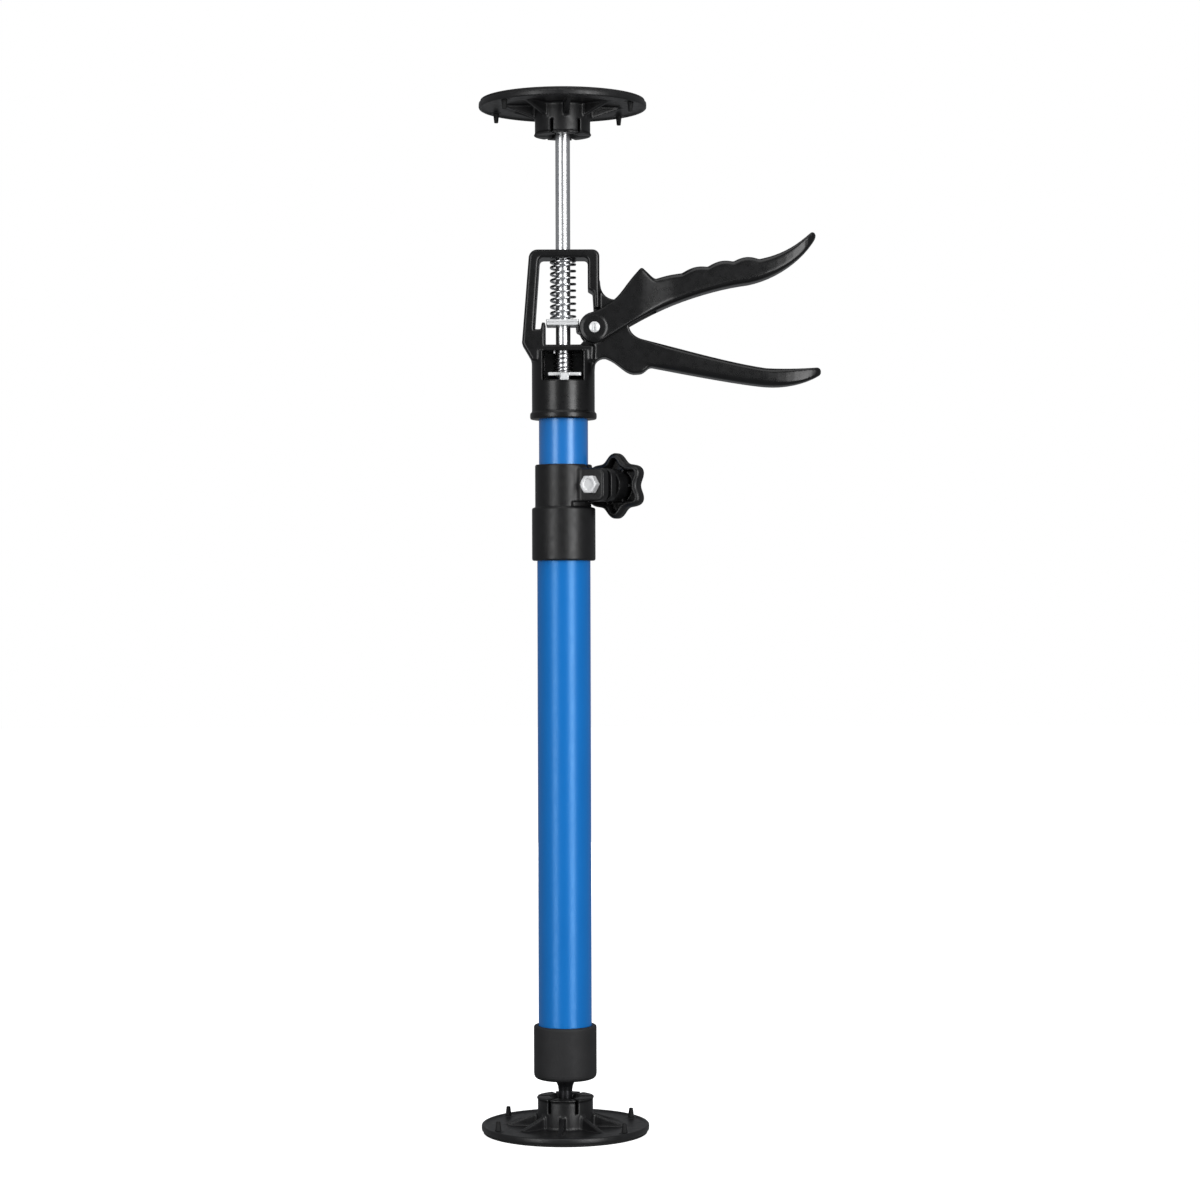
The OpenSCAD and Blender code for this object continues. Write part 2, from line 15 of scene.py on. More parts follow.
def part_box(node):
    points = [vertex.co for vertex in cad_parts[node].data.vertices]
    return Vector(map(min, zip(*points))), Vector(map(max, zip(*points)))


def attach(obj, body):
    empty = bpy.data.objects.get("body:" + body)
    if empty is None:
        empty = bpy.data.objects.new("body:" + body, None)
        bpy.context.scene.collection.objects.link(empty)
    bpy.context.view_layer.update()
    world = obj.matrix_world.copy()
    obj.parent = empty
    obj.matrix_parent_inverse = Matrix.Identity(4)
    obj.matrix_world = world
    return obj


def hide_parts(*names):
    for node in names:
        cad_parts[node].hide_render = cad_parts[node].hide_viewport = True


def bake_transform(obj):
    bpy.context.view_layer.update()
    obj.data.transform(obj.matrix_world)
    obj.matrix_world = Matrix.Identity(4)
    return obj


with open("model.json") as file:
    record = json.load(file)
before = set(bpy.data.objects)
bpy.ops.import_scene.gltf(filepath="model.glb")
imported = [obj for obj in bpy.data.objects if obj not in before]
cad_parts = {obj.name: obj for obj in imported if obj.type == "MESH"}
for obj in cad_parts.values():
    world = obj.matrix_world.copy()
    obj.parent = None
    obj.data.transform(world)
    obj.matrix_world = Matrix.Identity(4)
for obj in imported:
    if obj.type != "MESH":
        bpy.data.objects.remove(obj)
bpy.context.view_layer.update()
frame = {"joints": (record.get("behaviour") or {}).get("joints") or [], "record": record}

MM = 0.001
RECORD = frame["record"]
BODY = {n: body for body, nodes in RECORD["behaviour"]["bodies"].items() for n in nodes}
JOINT = {j["name"]: j for j in frame["joints"]}


def span(node):
    """Lowest and highest corner of a CAD node, in mm."""
    lo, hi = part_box(node)
    return np.array(lo) / MM, np.array(hi) / MM


# ------------------------------------------------------------------ driving sizes

PIVOT = np.array(JOINT["lever_squeeze"]["pos_m"]) / MM
BOLT = np.array(JOINT["knob_turn"]["pos_m"]) / MM
BOLT_AXIS = np.array(JOINT["knob_turn"]["axis"])
GRIP_Z = float(span("grip_body")[0][2])
HEAD_Z = float(span("head_rubber")[1][2])
PAD_R = round(float(span("foot_disc")[1][0]), 1)
HUB_H = float(span("foot_disc")[1][2])
FACING = float(span("foot_disc")[0][2])
NUB_H = float(span("foot_rubber")[1][2])
BALL_Z = JOINT["foot_tilt"]["pos_m"][2] / MM
BALL_R = round(float(span("head_ball")[1][0]), 1)
OUTER_R = round(float(span("outer_tube")[1][0]), 1)
INNER_R = round(float(span("inner_tube")[1][0]), 1)
ROD_R = round(float(span("push_rod")[1][0]), 1)
WALL = 0.8
HEAD_BALL_Z = HEAD_Z - BALL_Z
PIVOT_X = float(PIVOT[0])
PIVOT_H = float(PIVOT[2]) - GRIP_Z
FOOT_TURN = -5.0
HEAD_TURN = 7.5
NUB_TURNS = (34, 146, 214, 326)
NUB_RING_R = PAD_R - 4
NUB_R = 1.25
SOCKET_R = 15.0
RIVET_H = 10.4

# along the clamp bolt, from the middle of the gap between the ears
BOLT_HEAD_Y, EAR_FACE_Y, BOLT_END_Y = -9.75, 6.25, 16.4
WASHER_Y = (6.27, 7.26)
INSERT_Y = (7.36, 16.55)
KNOB_FOOT_Y, KNOB_UNDER_Y, KNOB_TOP_Y = 7.36, 13.45, 20.75
KNOB_BORE_R, BOLT_BORE_R = 4.0, 2.55


# ------------------------------------------------------------------ outlines

def curve(a, b, c, d, count=8):
    """Points of a cubic curve from a to d, without a itself."""
    a, b, c, d = (np.array(p, float) for p in (a, b, c, d))
    found = []
    for i in range(1, count + 1):
        t = i / count
        s = 1 - t
        found.append(tuple(s**3 * a + 3 * s * s * t * b + 3 * s * t * t * c + t**3 * d))
    return found


def arc(cx, cy, r, start, end, count=8):
    """Points of an arc about (cx, cy), its angles in degrees."""
    turns = [math.radians(start + (end - start) * i / count) for i in range(count + 1)]
    return [(cx + r * math.cos(a), cy + r * math.sin(a)) for a in turns]


def soften(corners, closed=True, steps=5):
    """Outline through (a, b, radius) corners, each rounded by its radius."""
    found = []
    for i, (a, b, radius) in enumerate(corners):
        p = np.array((a, b), float)
        if radius == 0 or (not closed and i in (0, len(corners) - 1)):
            found.append(tuple(p))
            continue
        to_last = np.array(corners[i - 1][:2], float) - p
        to_next = np.array(corners[(i + 1) % len(corners)][:2], float) - p
        last_len, next_len = np.linalg.norm(to_last), np.linalg.norm(to_next)
        u, v = to_last / last_len, to_next / next_len
        half = math.acos(float(np.clip(u @ v, -1, 1))) / 2
        back = min(radius / math.tan(half), 0.48 * last_len, 0.48 * next_len)
        start, end = p + u * back, p + v * back
        for k in range(steps + 1):
            t = k / steps
            found.append(tuple((1 - t) ** 2 * start + 2 * t * (1 - t) * p + t * t * end))
    return found


# ------------------------------------------------------------------ solids as distance fields

class Grid:
    """Sample points a little beyond a box, step apart, as arrays that broadcast together."""

    def __init__(self, lo, hi, step):
        self.step = step
        lines = [np.arange(a - 2.5 * step, b + 3 * step, step) for a, b in zip(lo, hi)]
        self.origin = np.array([line[0] for line in lines])
        self.x = lines[0][:, None, None]
        self.y = lines[1][None, :, None]
        self.z = lines[2][None, None, :]


def meet(a, b, r=0.0):
    """Where both are solid, with the outer edge between them rounded by r."""
    a, b = a + r, b + r
    return np.minimum(np.maximum(a, b), 0) + np.hypot(np.maximum(a, 0), np.maximum(b, 0)) - r


def join(a, b, r=0.0):
    """Both solids, with the inner corner between them filled by r."""
    return -meet(-a, -b, r)


def cut(a, b, r=0.0):
    """The first solid without the second, the new edge rounded by r."""
    return meet(a, -b, r)


def between(v, lo, hi):
    """Distance along one axis to the stretch from lo to hi."""
    return np.maximum(lo - v, v - hi)


def post(g, r, z0, z1, edge=0.0):
    """A round post on the Z axis."""
    return meet(np.hypot(g.x, g.y) - r, between(g.z, z0, z1), edge)


def outline(points, u, v):
    """Signed distance from each (u, v) to a closed outline, negative inside it."""
    u, v = np.broadcast_arrays(u, v)
    nearest = np.full(u.shape, np.inf)
    inside = np.zeros(u.shape, bool)
    for (ax, ay), (bx, by) in zip(points, points[1:] + points[:1]):
        ex, ey = bx - ax, by - ay
        length = ex * ex + ey * ey
        if length < 1e-12:
            continue
        wx, wy = u - ax, v - ay
        t = np.clip((wx * ex + wy * ey) / length, 0, 1)
        nearest = np.minimum(nearest, (wx - ex * t) ** 2 + (wy - ey * t) ** 2)
        if ay != by:
            inside ^= ((ay > v) != (by > v)) & (u < ex * (v - ay) / ey + ax)
    return np.where(inside, -1, 1) * np.sqrt(nearest)


def folded(x, y, count, turn=0.0):
    """Coordinates in the nearest of count equal sectors, whose middle lies along +X."""
    sector = 2 * math.pi / count
    angle = np.arctan2(y, x) - math.radians(turn)
    angle = angle - sector * np.round(angle / sector)
    r = np.hypot(x, y)
    return r * np.cos(angle), r * np.sin(angle)


def sample(field, p):
    """The field's value at each point p, in steps of the grid."""
    p = np.clip(p, 0, np.array(field.shape) - 1.001)
    base = p.astype(int)
    f = p - base
    total = 0
    for i in (0, 1):
        for j in (0, 1):
            for k in (0, 1):
                share = np.abs(1 - i - f[:, 0]) * np.abs(1 - j - f[:, 1]) * np.abs(1 - k - f[:, 2])
                total = total + share * field[base[:, 0] + i, base[:, 1] + j, base[:, 2] + k]
    return total


def skin(g, field):
    """Points and faces of the surface where the field is zero, one point for each cell it crosses."""
    field = np.broadcast_to(field, (g.x.size, g.y.size, g.z.size))
    solid = field < 0
    cells_shape = np.array(field.shape) - 1
    corners = [(i, j, k) for i in (0, 1) for j in (0, 1) for k in (0, 1)]
    count = np.zeros(cells_shape, np.int8)
    for i, j, k in corners:
        count += solid[i:i + cells_shape[0], j:j + cells_shape[1], k:k + cells_shape[2]]
    mixed = (count > 0) & (count < len(corners))
    cells = np.argwhere(mixed)
    index = np.full(cells_shape, -1)
    index[mixed] = np.arange(len(cells))
    total = np.zeros((len(cells), 3))
    hits = np.zeros(len(cells))
    faces = []
    for axis in range(3):
        along = np.eye(3, dtype=int)[axis]
        for start in (c for c in corners if c[axis] == 0):
            a, b = cells + start, cells + start + along
            fa, fb = field[tuple(a.T)], field[tuple(b.T)]
            crossed = (fa < 0) != (fb < 0)
            share = fa[crossed] / (fa[crossed] - fb[crossed])
            total[crossed] += a[crossed] + share[:, None] * along
            hits[crossed] += 1
        u, v = np.eye(3, dtype=int)[(axis + 1) % 3], np.eye(3, dtype=int)[(axis + 2) % 3]
        first = np.take(solid, range(cells_shape[axis]), axis)
        second = np.take(solid, range(1, cells_shape[axis] + 1), axis)
        edges = np.argwhere(first != second)
        ring = [index[tuple((edges - s * u - t * v).T)] for s, t in ((1, 1), (0, 1), (0, 0), (1, 0))]
        quads = np.stack(ring, 1)
        inward = second[tuple(edges.T)]
        quads[inward] = quads[inward][:, ::-1]
        faces.append(quads)
    co = total / hits[:, None]
    for _ in range(2):
        slope = np.stack([sample(field, co + 0.5 * e) - sample(field, co - 0.5 * e) for e in np.eye(3)], 1)
        steep = np.maximum((slope**2).sum(1), 0.05)
        shift = -(sample(field, co) / steep)[:, None] * slope
        co = co + np.clip(shift, -0.4, 0.4)
    return co * g.step + g.origin, np.concatenate(faces)


# ------------------------------------------------------------------ solids as turnings and windings

def lathe(corners, hollow=False, sides=96):
    """Points and faces of a profile of (radius, height, rounding) corners turned about Z.
    A solid's profile starts and ends on the axis, a hollow one's goes round its wall."""
    line = soften(corners, closed=hollow)
    ends = line + line[:1] if hollow else line
    profile = []
    for p, q in zip(ends, ends[1:]):
        p, q = np.array(p), np.array(q)
        length = np.linalg.norm(q - p)
        profile.append(p)
        if length > 0.8:
            profile += [p + (q - p) * 0.15 / length, q - (q - p) * 0.15 / length]
    if not hollow:
        profile = profile[1:]
    profile = np.array(profile)
    angle = 2 * math.pi * np.arange(sides) / sides
    ring = np.stack([np.cos(angle), np.sin(angle)], 1)
    co = [np.column_stack([r * ring, np.full(sides, z)]) for r, z in profile]
    faces = []
    rows = len(profile)
    for i in range(rows if hollow else rows - 1):
        a, b = i * sides, (i + 1) % rows * sides
        faces += [(a + j, a + (j + 1) % sides, b + (j + 1) % sides, b + j) for j in range(sides)]
    if not hollow:
        foot, top = rows * sides, rows * sides + 1
        co += [[[0, 0, line[0][1]]], [[0, 0, line[-1][1]]]]
        last = (rows - 1) * sides
        faces += [((j + 1) % sides, j, foot) for j in range(sides)]
        faces += [(last + j, last + (j + 1) % sides, top) for j in range(sides)]
    return np.concatenate(co), faces


def tube(z0, z1, r_out, r_in, edge=0.15):
    """Profile of a plain tube, for a hollow lathe."""
    return [(r_in, z0, edge), (r_out, z0, edge), (r_out, z1, edge), (r_in, z1, edge)]


def threaded(r, z0, z1, pitch, depth):
    """Profile points of a thread drawn as rings, from z0 up to z1."""
    found = []
    for i in range(int((z1 - z0) / pitch)):
        z = z0 + i * pitch
        found += [(r - depth, z, 0), (r, z + 0.4 * pitch, 0), (r, z + 0.6 * pitch, 0)]
    return found


def coil(z0, z1, r, wire, turns, dead=0.8, start=0.0, steps=40, sides=12):
    """Points and faces of a wire wound up the Z axis, its dead turns closed at each end."""
    lo, hi = z0 + wire, z1 - wire
    knots = [0, dead, turns - dead, turns]
    heights = [lo, lo + dead * 2.1 * wire, hi - dead * 2.1 * wire, hi]
    at = np.linspace(0, turns, int(turns * steps) + 1)
    height = np.interp(at, knots, heights)
    kernel = np.ones(steps // 3) / (steps // 3)
    padded = np.concatenate([np.full(steps, height[0]), height, np.full(steps, height[-1])])
    height = np.convolve(padded, kernel, "same")[steps:-steps]
    angle = 2 * math.pi * (at + start)
    out = np.stack([np.cos(angle), np.sin(angle), 0 * angle], 1)
    centre = r * out + np.stack([0 * angle, 0 * angle, height], 1)
    around = 2 * math.pi * np.arange(sides) / sides
    up = np.array([0, 0, 1.0])
    rings = [c + wire * (math.cos(b) * o + math.sin(b) * up) for c, o in zip(centre, out) for b in around]
    faces = []
    for i in range(len(at) - 1):
        a = i * sides
        for j in range(sides):
            k = (j + 1) % sides
            faces.append((a + j, a + k, a + sides + k, a + sides + j)[::-1])
    last = (len(at) - 1) * sides
    faces.append(tuple(range(sides)))
    faces.append(tuple(last + j for j in reversed(range(sides))))
    return np.array(rings), faces


# ------------------------------------------------------------------ putting pieces in the scene

def spot(origin=(0, 0, 0), turn_z=0.0, turn_x=0.0):
    """A place in the pole's frame, in mm: turned about X, then about Z, then moved."""
    turned = Matrix.Rotation(math.radians(turn_z), 4, "Z") @ Matrix.Rotation(math.radians(turn_x), 4, "X")
    return np.array(Matrix.Translation(origin) @ turned)


AT_GRIP = spot((0, 0, GRIP_Z))
ALONG_Y = np.array([[1, 0, 0, 0], [0, 0, 1, 0], [0, -1, 0, 0], [0, 0, 0, 1.0]])
AT_PIVOT = spot(tuple(PIVOT)) @ ALONG_Y
ON_BOLT = np.eye(4)
ON_BOLT[:3, 2] = BOLT_AXIS
ON_BOLT[:3, 1] = (0, 0, -1)
ON_BOLT[:3, 0] = np.cross(ON_BOLT[:3, 1], BOLT_AXIS)
ON_BOLT[:3, 3] = BOLT


def make(name, node, shape, finish, place=None, stands=True):
    """Makes a piece for a CAD node, which stands for the node or only goes with it."""
    co, faces = shape
    if place is not None:
        co = co @ place[:3, :3].T + place[:3, 3]
    mesh = bpy.data.meshes.new(name)
    mesh.from_pydata((co * MM).tolist(), [], [tuple(map(int, f)) for f in faces])
    mesh.validate()
    mesh.shade_smooth()
    mesh.set_sharp_from_angle(angle=math.radians(48))
    mesh.materials.append(finish)
    obj = bpy.data.objects.new(name, mesh)
    bpy.context.scene.collection.objects.link(obj)
    if stands:
        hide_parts(node)
    return obj


def add(name, node, shape, finish, place=None, stands=True):
    """Makes a piece and rides it on its node's body."""
    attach(make(name, node, shape, finish, place, stands), BODY[node])


# ------------------------------------------------------------------ finishes

class Finish:
    """A Principled material whose plain values sit on the shader's own sockets."""

    def __init__(self, name, **values):
        self.material = bpy.data.materials.new(name)
        self.material.use_nodes = True
        self.tree = self.material.node_tree
        self.shader = self.tree.nodes["Principled BSDF"]
        self.place = self.node("ShaderNodeTexCoord").outputs["Object"]
        for socket, value in values.items():
            self.shader.inputs[socket.replace("_", " ")].default_value = value

    def node(self, kind, **values):
        made = self.tree.nodes.new(kind)
        for socket, value in values.items():
            made.inputs[socket.replace("_", " ")].default_value = value
        return made

    def link(self, source, target):
        self.tree.links.new(source, target)

    def noise(self, size, detail=3.0, stretch=(1, 1, 1)):
        """Soft noise whose grain is about size mm, drawn out along an axis by stretch."""
        mapping = self.node("ShaderNodeMapping")
        mapping.inputs["Scale"].default_value = [1 / s for s in stretch]
        self.link(self.place, mapping.inputs["Vector"])
        noise = self.node("ShaderNodeTexNoise", Scale=1 / (size * MM), Detail=detail)
        self.link(mapping.outputs[0], noise.inputs["Vector"])
        return noise.outputs["Fac"]

    def ranged(self, source, lo, hi, start=0.3, end=0.7):
        """Spreads a noise's middle range over lo to hi."""
        spread = self.node("ShaderNodeMapRange")
        for socket, value in zip(spread.inputs[1:5], (start, end, lo, hi)):
            socket.default_value = value
        self.link(source, spread.inputs[0])
        return spread.outputs[0]

    def colours(self, source, *stops):
        """Colour along a noise, from (place, colour) stops."""
        ramp = self.node("ShaderNodeValToRGB")
        points = ramp.color_ramp.elements
        for point, (where, colour) in zip(points, stops):
            point.position = where
            point.color = (*colour, 1)
        for where, colour in stops[2:]:
            points.new(where).color = (*colour, 1)
        self.link(source, ramp.inputs[0])
        self.link(ramp.outputs[0], self.shader.inputs["Base Color"])

    def rough(self, source, lo, hi):
        self.link(self.ranged(source, lo, hi), self.shader.inputs["Roughness"])

    def bump(self, *layers):
        """Raises the surface by each (noise, depth in mm) layer."""
        last = None
        for source, depth in layers:
            bump = self.node("ShaderNodeBump", Strength=1.0, Distance=depth * MM)
            self.link(source, bump.inputs["Height"])
            if last is not None:
                self.link(last, bump.inputs["Normal"])
            last = bump.outputs[0]
        self.link(last, self.shader.inputs["Normal"])


def blue_powder_coat(name, clear):
    f = Finish(name, Specular_IOR_Level=1.0, Specular_Tint=(0.38, 0.72, 1.0, 1), Coat_Weight=clear,
               Coat_Roughness=0.24)
    cloud = f.noise(9, 4, (1, 1, 4))
    f.colours(cloud, (0.3, (0.002, 0.195, 0.67)), (0.7, (0.003, 0.210, 0.71)))
    f.rough(f.noise(2.2, 4), 0.29, 0.37)
    f.bump((f.noise(1.1, 2), 0.012), (f.noise(0.25, 2), 0.003))
    return f.material


def black_moulded_plastic(name, tone, smooth, rough, grain):
    f = Finish(name, Specular_IOR_Level=0.5)
    dark, light = (tone * 0.8, tone * 0.8, tone * 0.86), (tone * 1.2, tone * 1.2, tone * 1.3)
    f.colours(f.noise(6, 4), (0.3, dark), (0.7, light))
    f.rough(f.noise(3, 5), smooth, rough)
    f.bump((f.noise(0.35, 3), grain), (f.noise(4, 3), 0.005))
    return f.material


def black_soft_rubber():
    f = Finish("black_soft_rubber", Specular_IOR_Level=0.35)
    f.colours(f.noise(3, 5), (0.3, (0.010, 0.010, 0.010)), (0.7, (0.017, 0.017, 0.018)))
    f.rough(f.noise(1.5, 4), 0.62, 0.80)
    f.bump((f.noise(0.5, 3), 0.03))
    return f.material


def black_oxide_steel():
    f = Finish("black_oxide_steel", Metallic=0.75)
    f.colours(f.noise(2.5, 5), (0.3, (0.018, 0.018, 0.020)), (0.7, (0.034, 0.034, 0.038)))
    f.rough(f.noise(1.2, 4), 0.34, 0.48)
    f.bump((f.noise(0.8, 3, (1, 1, 0.15)), 0.006))
    return f.material


def ground_chrome():
    f = Finish("ground_chrome", Metallic=1.0)
    f.colours(f.noise(12, 3), (0.3, (0.83, 0.84, 0.86)), (0.7, (0.90, 0.91, 0.92)))
    f.rough(f.noise(1.6, 4, (3, 3, 0.2)), 0.26, 0.34)
    f.bump((f.noise(1.2, 2, (4, 4, 0.5)), 0.0004))
    return f.material


def stamped_bright_steel():
    f = Finish("stamped_bright_steel", Metallic=0.45)
    f.colours(f.noise(2.5, 4), (0.3, (0.86, 0.87, 0.88)), (0.7, (0.94, 0.95, 0.96)))
    f.rough(f.noise(1.0, 4, (6, 0.5, 1)), 0.42, 0.52)
    f.bump((f.noise(0.5, 3, (8, 0.6, 1)), 0.003), (f.noise(2.0, 2), 0.006))
    return f.material


def bright_zinc():
    f = Finish("bright_zinc", Metallic=0.35)
    f.colours(f.noise(1.2, 4), (0.3, (0.88, 0.89, 0.90)), (0.7, (0.95, 0.955, 0.96)))
    f.rough(f.noise(0.9, 4), 0.34, 0.44)
    f.bump((f.noise(0.6, 3), 0.003))
    return f.material


def spring_wire(name, dark, light):
    f = Finish(name, Metallic=1.0)
    f.colours(f.noise(1.5, 3), (0.3, dark), (0.7, light))
    f.rough(f.noise(0.6, 3), 0.16, 0.30)
    f.bump((f.noise(0.25, 2), 0.004))
    return f.material


def turned_brass():
    f = Finish("turned_brass", Metallic=1.0)
    f.colours(f.noise(1.5, 4), (0.3, (0.60, 0.42, 0.15)), (0.7, (0.80, 0.60, 0.27)))
    f.rough(f.noise(0.8, 4), 0.22, 0.36)
    f.bump((f.noise(0.3, 2, (1, 1, 0.2)), 0.005))
    return f.material


BLUE = blue_powder_coat("blue_powder_coat", 0.05)
BLUE_GLOSS = blue_powder_coat("blue_gloss_coat", 0.75)
BLACK = black_moulded_plastic("black_moulded_plastic", 0.006, 0.33, 0.46, 0.010)
GRIP_BLACK = black_moulded_plastic("black_grip_plastic", 0.004, 0.25, 0.33, 0.005)
CAP_BLACK = black_moulded_plastic("black_cap_plastic", 0.017, 0.58, 0.70, 0.016)
PAD_BLACK = black_moulded_plastic("black_pad_plastic", 0.010, 0.32, 0.46, 0.010)
RUBBER = black_soft_rubber()
OXIDE = black_oxide_steel()
CHROME = ground_chrome()
STAMPED = stamped_bright_steel()
ZINC = bright_zinc()
DRIVE_WIRE = spring_wire("bright_spring_wire", (0.60, 0.61, 0.63), (0.80, 0.81, 0.83))
# The lock spring's wire is the same spring wire in a much darker colour: painted shade of the socket
# pocket it sits in.
SHADED_LOCK_WIRE = spring_wire("shaded_spring_wire", (0.20, 0.20, 0.21), (0.36, 0.36, 0.37))
BRASS = turned_brass()


# ------------------------------------------------------------------ pads

def pad_disc():
    """Round plate with a raised band, a lip, ribs and a split ball socket, its face down."""
    hub_r, lip_z, band_z, plate_z = 13.2, 4.0, 3.2, 2.6
    ring_in, rib_count, slot_count = 28.0, 8, 6
    g = Grid((-PAD_R, -PAD_R, FACING), (PAD_R, PAD_R, HUB_H), 0.5)
    r = np.hypot(g.x, g.y)
    solid = outline(soften([
        (-1, FACING, 0), (PAD_R, FACING, 0.6), (PAD_R, lip_z, 0.6), (PAD_R - 1.4, lip_z, 0.4),
        (PAD_R - 2.0, band_z, 0.4), (ring_in, band_z, 0.5), (ring_in - 1, plate_z, 0.4), (-1, plate_z, 0),
    ]), r, g.z)
    side = [(hub_r - 1, 2), (hub_r - 1, 9.2)] + curve(
        (hub_r - 1, 9.2), (17, 7.4), (23, band_z + 1.6), (ring_in + 2, band_z - 0.3)) + [(ring_in + 2, 2)]
    rx, ry = folded(g.x, g.y, rib_count)
    ribs = meet(outline(side, rx, g.z), np.abs(ry) - 1.08 + 0.02 * (g.z - plate_z), 0.35)
    rim = post(g, hub_r + 0.5, HUB_H - 0.9, HUB_H, 0.25)
    hub = join(post(g, hub_r, FACING + 0.3, HUB_H, 0.3), rim, 0.3)
    solid = join(join(solid, ribs, 0.7), hub, 1.1)
    for a in NUB_TURNS:
        nx, ny = NUB_RING_R * math.cos(math.radians(a)), NUB_RING_R * math.sin(math.radians(a))
        away = np.hypot(g.x - nx, g.y - ny)
        solid = join(solid, meet(away - 2.6, between(g.z, 2, band_z + 0.45), 0.2), 0.3)
        solid = cut(solid, away - NUB_R - 0.1, 0.15)
    ball = np.sqrt(r**2 + (g.z - BALL_Z) ** 2) - BALL_R - 0.15
    mouth = outline([
        (-1, BALL_Z + 2.4), (BALL_R - 0.9, BALL_Z + 2.4), (BALL_R - 0.9, BALL_Z + 3.9),
        (BALL_R + 1, HUB_H), (BALL_R + 1, HUB_H + 2), (-1, HUB_H + 2),
    ], r, g.z)
    sx, sy = folded(g.x, g.y, slot_count)
    slots = meet(meet(np.abs(sy) - 0.8, BALL_R - 2.5 - sx), BALL_Z + 0.7 - g.z)
    solid = cut(cut(solid, ball), mouth, 0.2)
    return skin(g, cut(solid, slots, 0.25))


def pad_facing():
    """The rubber facing, without its nubs."""
    r, top = PAD_R - 0.8, FACING - 0.01
    return lathe([(0, 0, 0), (r, 0, 0.35), (r, top, 0.1), (0, top, 0)])


def pad_nub():
    """One pull-through nub of the rubber facing."""
    root = FACING - 0.3
    return lathe([
        (0, root, 0), (NUB_R, root, 0), (NUB_R, 3.4, 0.1), (NUB_R + 0.22, 3.75, 0.2),
        (NUB_R + 0.1, 4.6, 0.4), (NUB_R - 0.3, NUB_H, 0.3), (0, NUB_H, 0),
    ], sides=24)


def add_pads():
    """The foot pad, and the same pad turned over at the head."""
    disc, facing, nub = pad_disc(), pad_facing(), pad_nub()
    places = {
        "foot": spot(turn_z=FOOT_TURN),
        "head": spot((0, 0, HEAD_Z), turn_z=HEAD_TURN, turn_x=180),
    }
    for end, place in places.items():
        add(end + "_disc_shell", end + "_disc", disc, PAD_BLACK, place)
        add(end + "_rubber_facing", end + "_rubber", facing, RUBBER, place)
        for i, a in enumerate(NUB_TURNS):
            seat = place @ spot(turn_z=a) @ spot((NUB_RING_R, 0, 0))
            add(f"{end}_rubber_nub_{i + 1}", end + "_rubber", nub, RUBBER, seat, stands=False)


# ------------------------------------------------------------------ turned pieces

def turned(name, node, profile, finish, hollow=False, place=None, sides=96):
    """Adds a plain round piece."""
    add(name, node, lathe(profile, hollow, sides), finish, place)


def add_tubes():
    for node, r, finish in (("outer_tube", OUTER_R, BLUE), ("inner_tube", INNER_R, BLUE_GLOSS)):
        lo, hi = span(node)
        turned(node + "_skin", node, tube(lo[2], hi[2], r, r - WALL), finish, True, sides=144)


def add_foot_cap():
    lo, hi = span("foot_cap")
    floor_z = span("outer_tube")[0][2] - 0.02
    cap_r = round(float(hi[0]), 1)
    hole_r, bore_r = 4.08, OUTER_R + 0.04
    turned("foot_cap_shell", "foot_cap", [
        (hole_r, lo[2], 0.3), (cap_r, lo[2], 2.8), (cap_r, hi[2], 1.1),
        (bore_r, hi[2], 0.35), (bore_r, floor_z, 0.1), (hole_r, floor_z, 0.2),
    ], CAP_BLACK, True, sides=144)


def add_foot_stud():
    """Ball, waisted neck, flange and M8 thread in one piece."""
    top = float(span("foot_ball_stud")[1][2])
    face = span("foot_cap")[0][2] - 0.15
    neck_r, flange_r, flange_t = 3.3, 5.3, 0.7
    neck = math.degrees(math.acos(neck_r / BALL_R))
    ball = [(r, BALL_Z + z, 0) for r, z in arc(0, 0, BALL_R, -90, neck, 20)]
    ball[0] = (0, BALL_Z - BALL_R, 0)
    waist = [
        (neck_r, face - 5.5, 3), (3.6, face - 3.6, 3), (4.6, face - flange_t, 1),
        (flange_r, face - flange_t, 0.2), (flange_r, face, 0.15), (3.9, face, 0.1),
    ]
    thread = threaded(4.0, face + 0.3, top - 1.0, 1.25, 0.3) + [(3.6, top, 0.2), (0, top, 0)]
    turned("foot_ball_stud_body", "foot_ball_stud", ball + waist + thread, OXIDE)


def add_rod():
    """The push rod, stepped down at both ends, and the washer on its lower one."""
    lo, hi = span("push_rod")
    foot_r, head_r = 2.6, 2.95
    foot, shoulder = lo[2] + 2, HEAD_BALL_Z - 4.2
    turned("push_rod_body", "push_rod", [
        (0, lo[2], 0), (foot_r, lo[2], 0.4), (foot_r, foot, 0.1), (ROD_R, foot, 0.3),
        (ROD_R, shoulder, 0.3), (head_r, shoulder, 0.1), (head_r, hi[2], 0.4), (0, hi[2], 0),
    ], CHROME)
    lo, hi = span("rod_stop")
    turned("rod_stop_washer", "rod_stop", tube(lo[2], hi[2], hi[0], foot_r + 0.02, 0.3), ZINC, True)


def add_guide_bush():
    """The bush, whose collar fills the lower tube and whose sleeve plugs the upper one."""
    lo, hi = span("guide_bush")
    step = lo[2] + 4 - 0.15
    bore_r, plug_r = INNER_R - WALL - 2.4, INNER_R - WALL - 0.05
    turned("guide_bush_sleeve", "guide_bush", [
        (bore_r, lo[2], 0.4), (hi[0], lo[2], 0.5), (hi[0], step, 0.3),
        (plug_r, step, 0.1), (plug_r, hi[2], 0.8), (bore_r, hi[2], 0.4),
    ], BLACK, True)


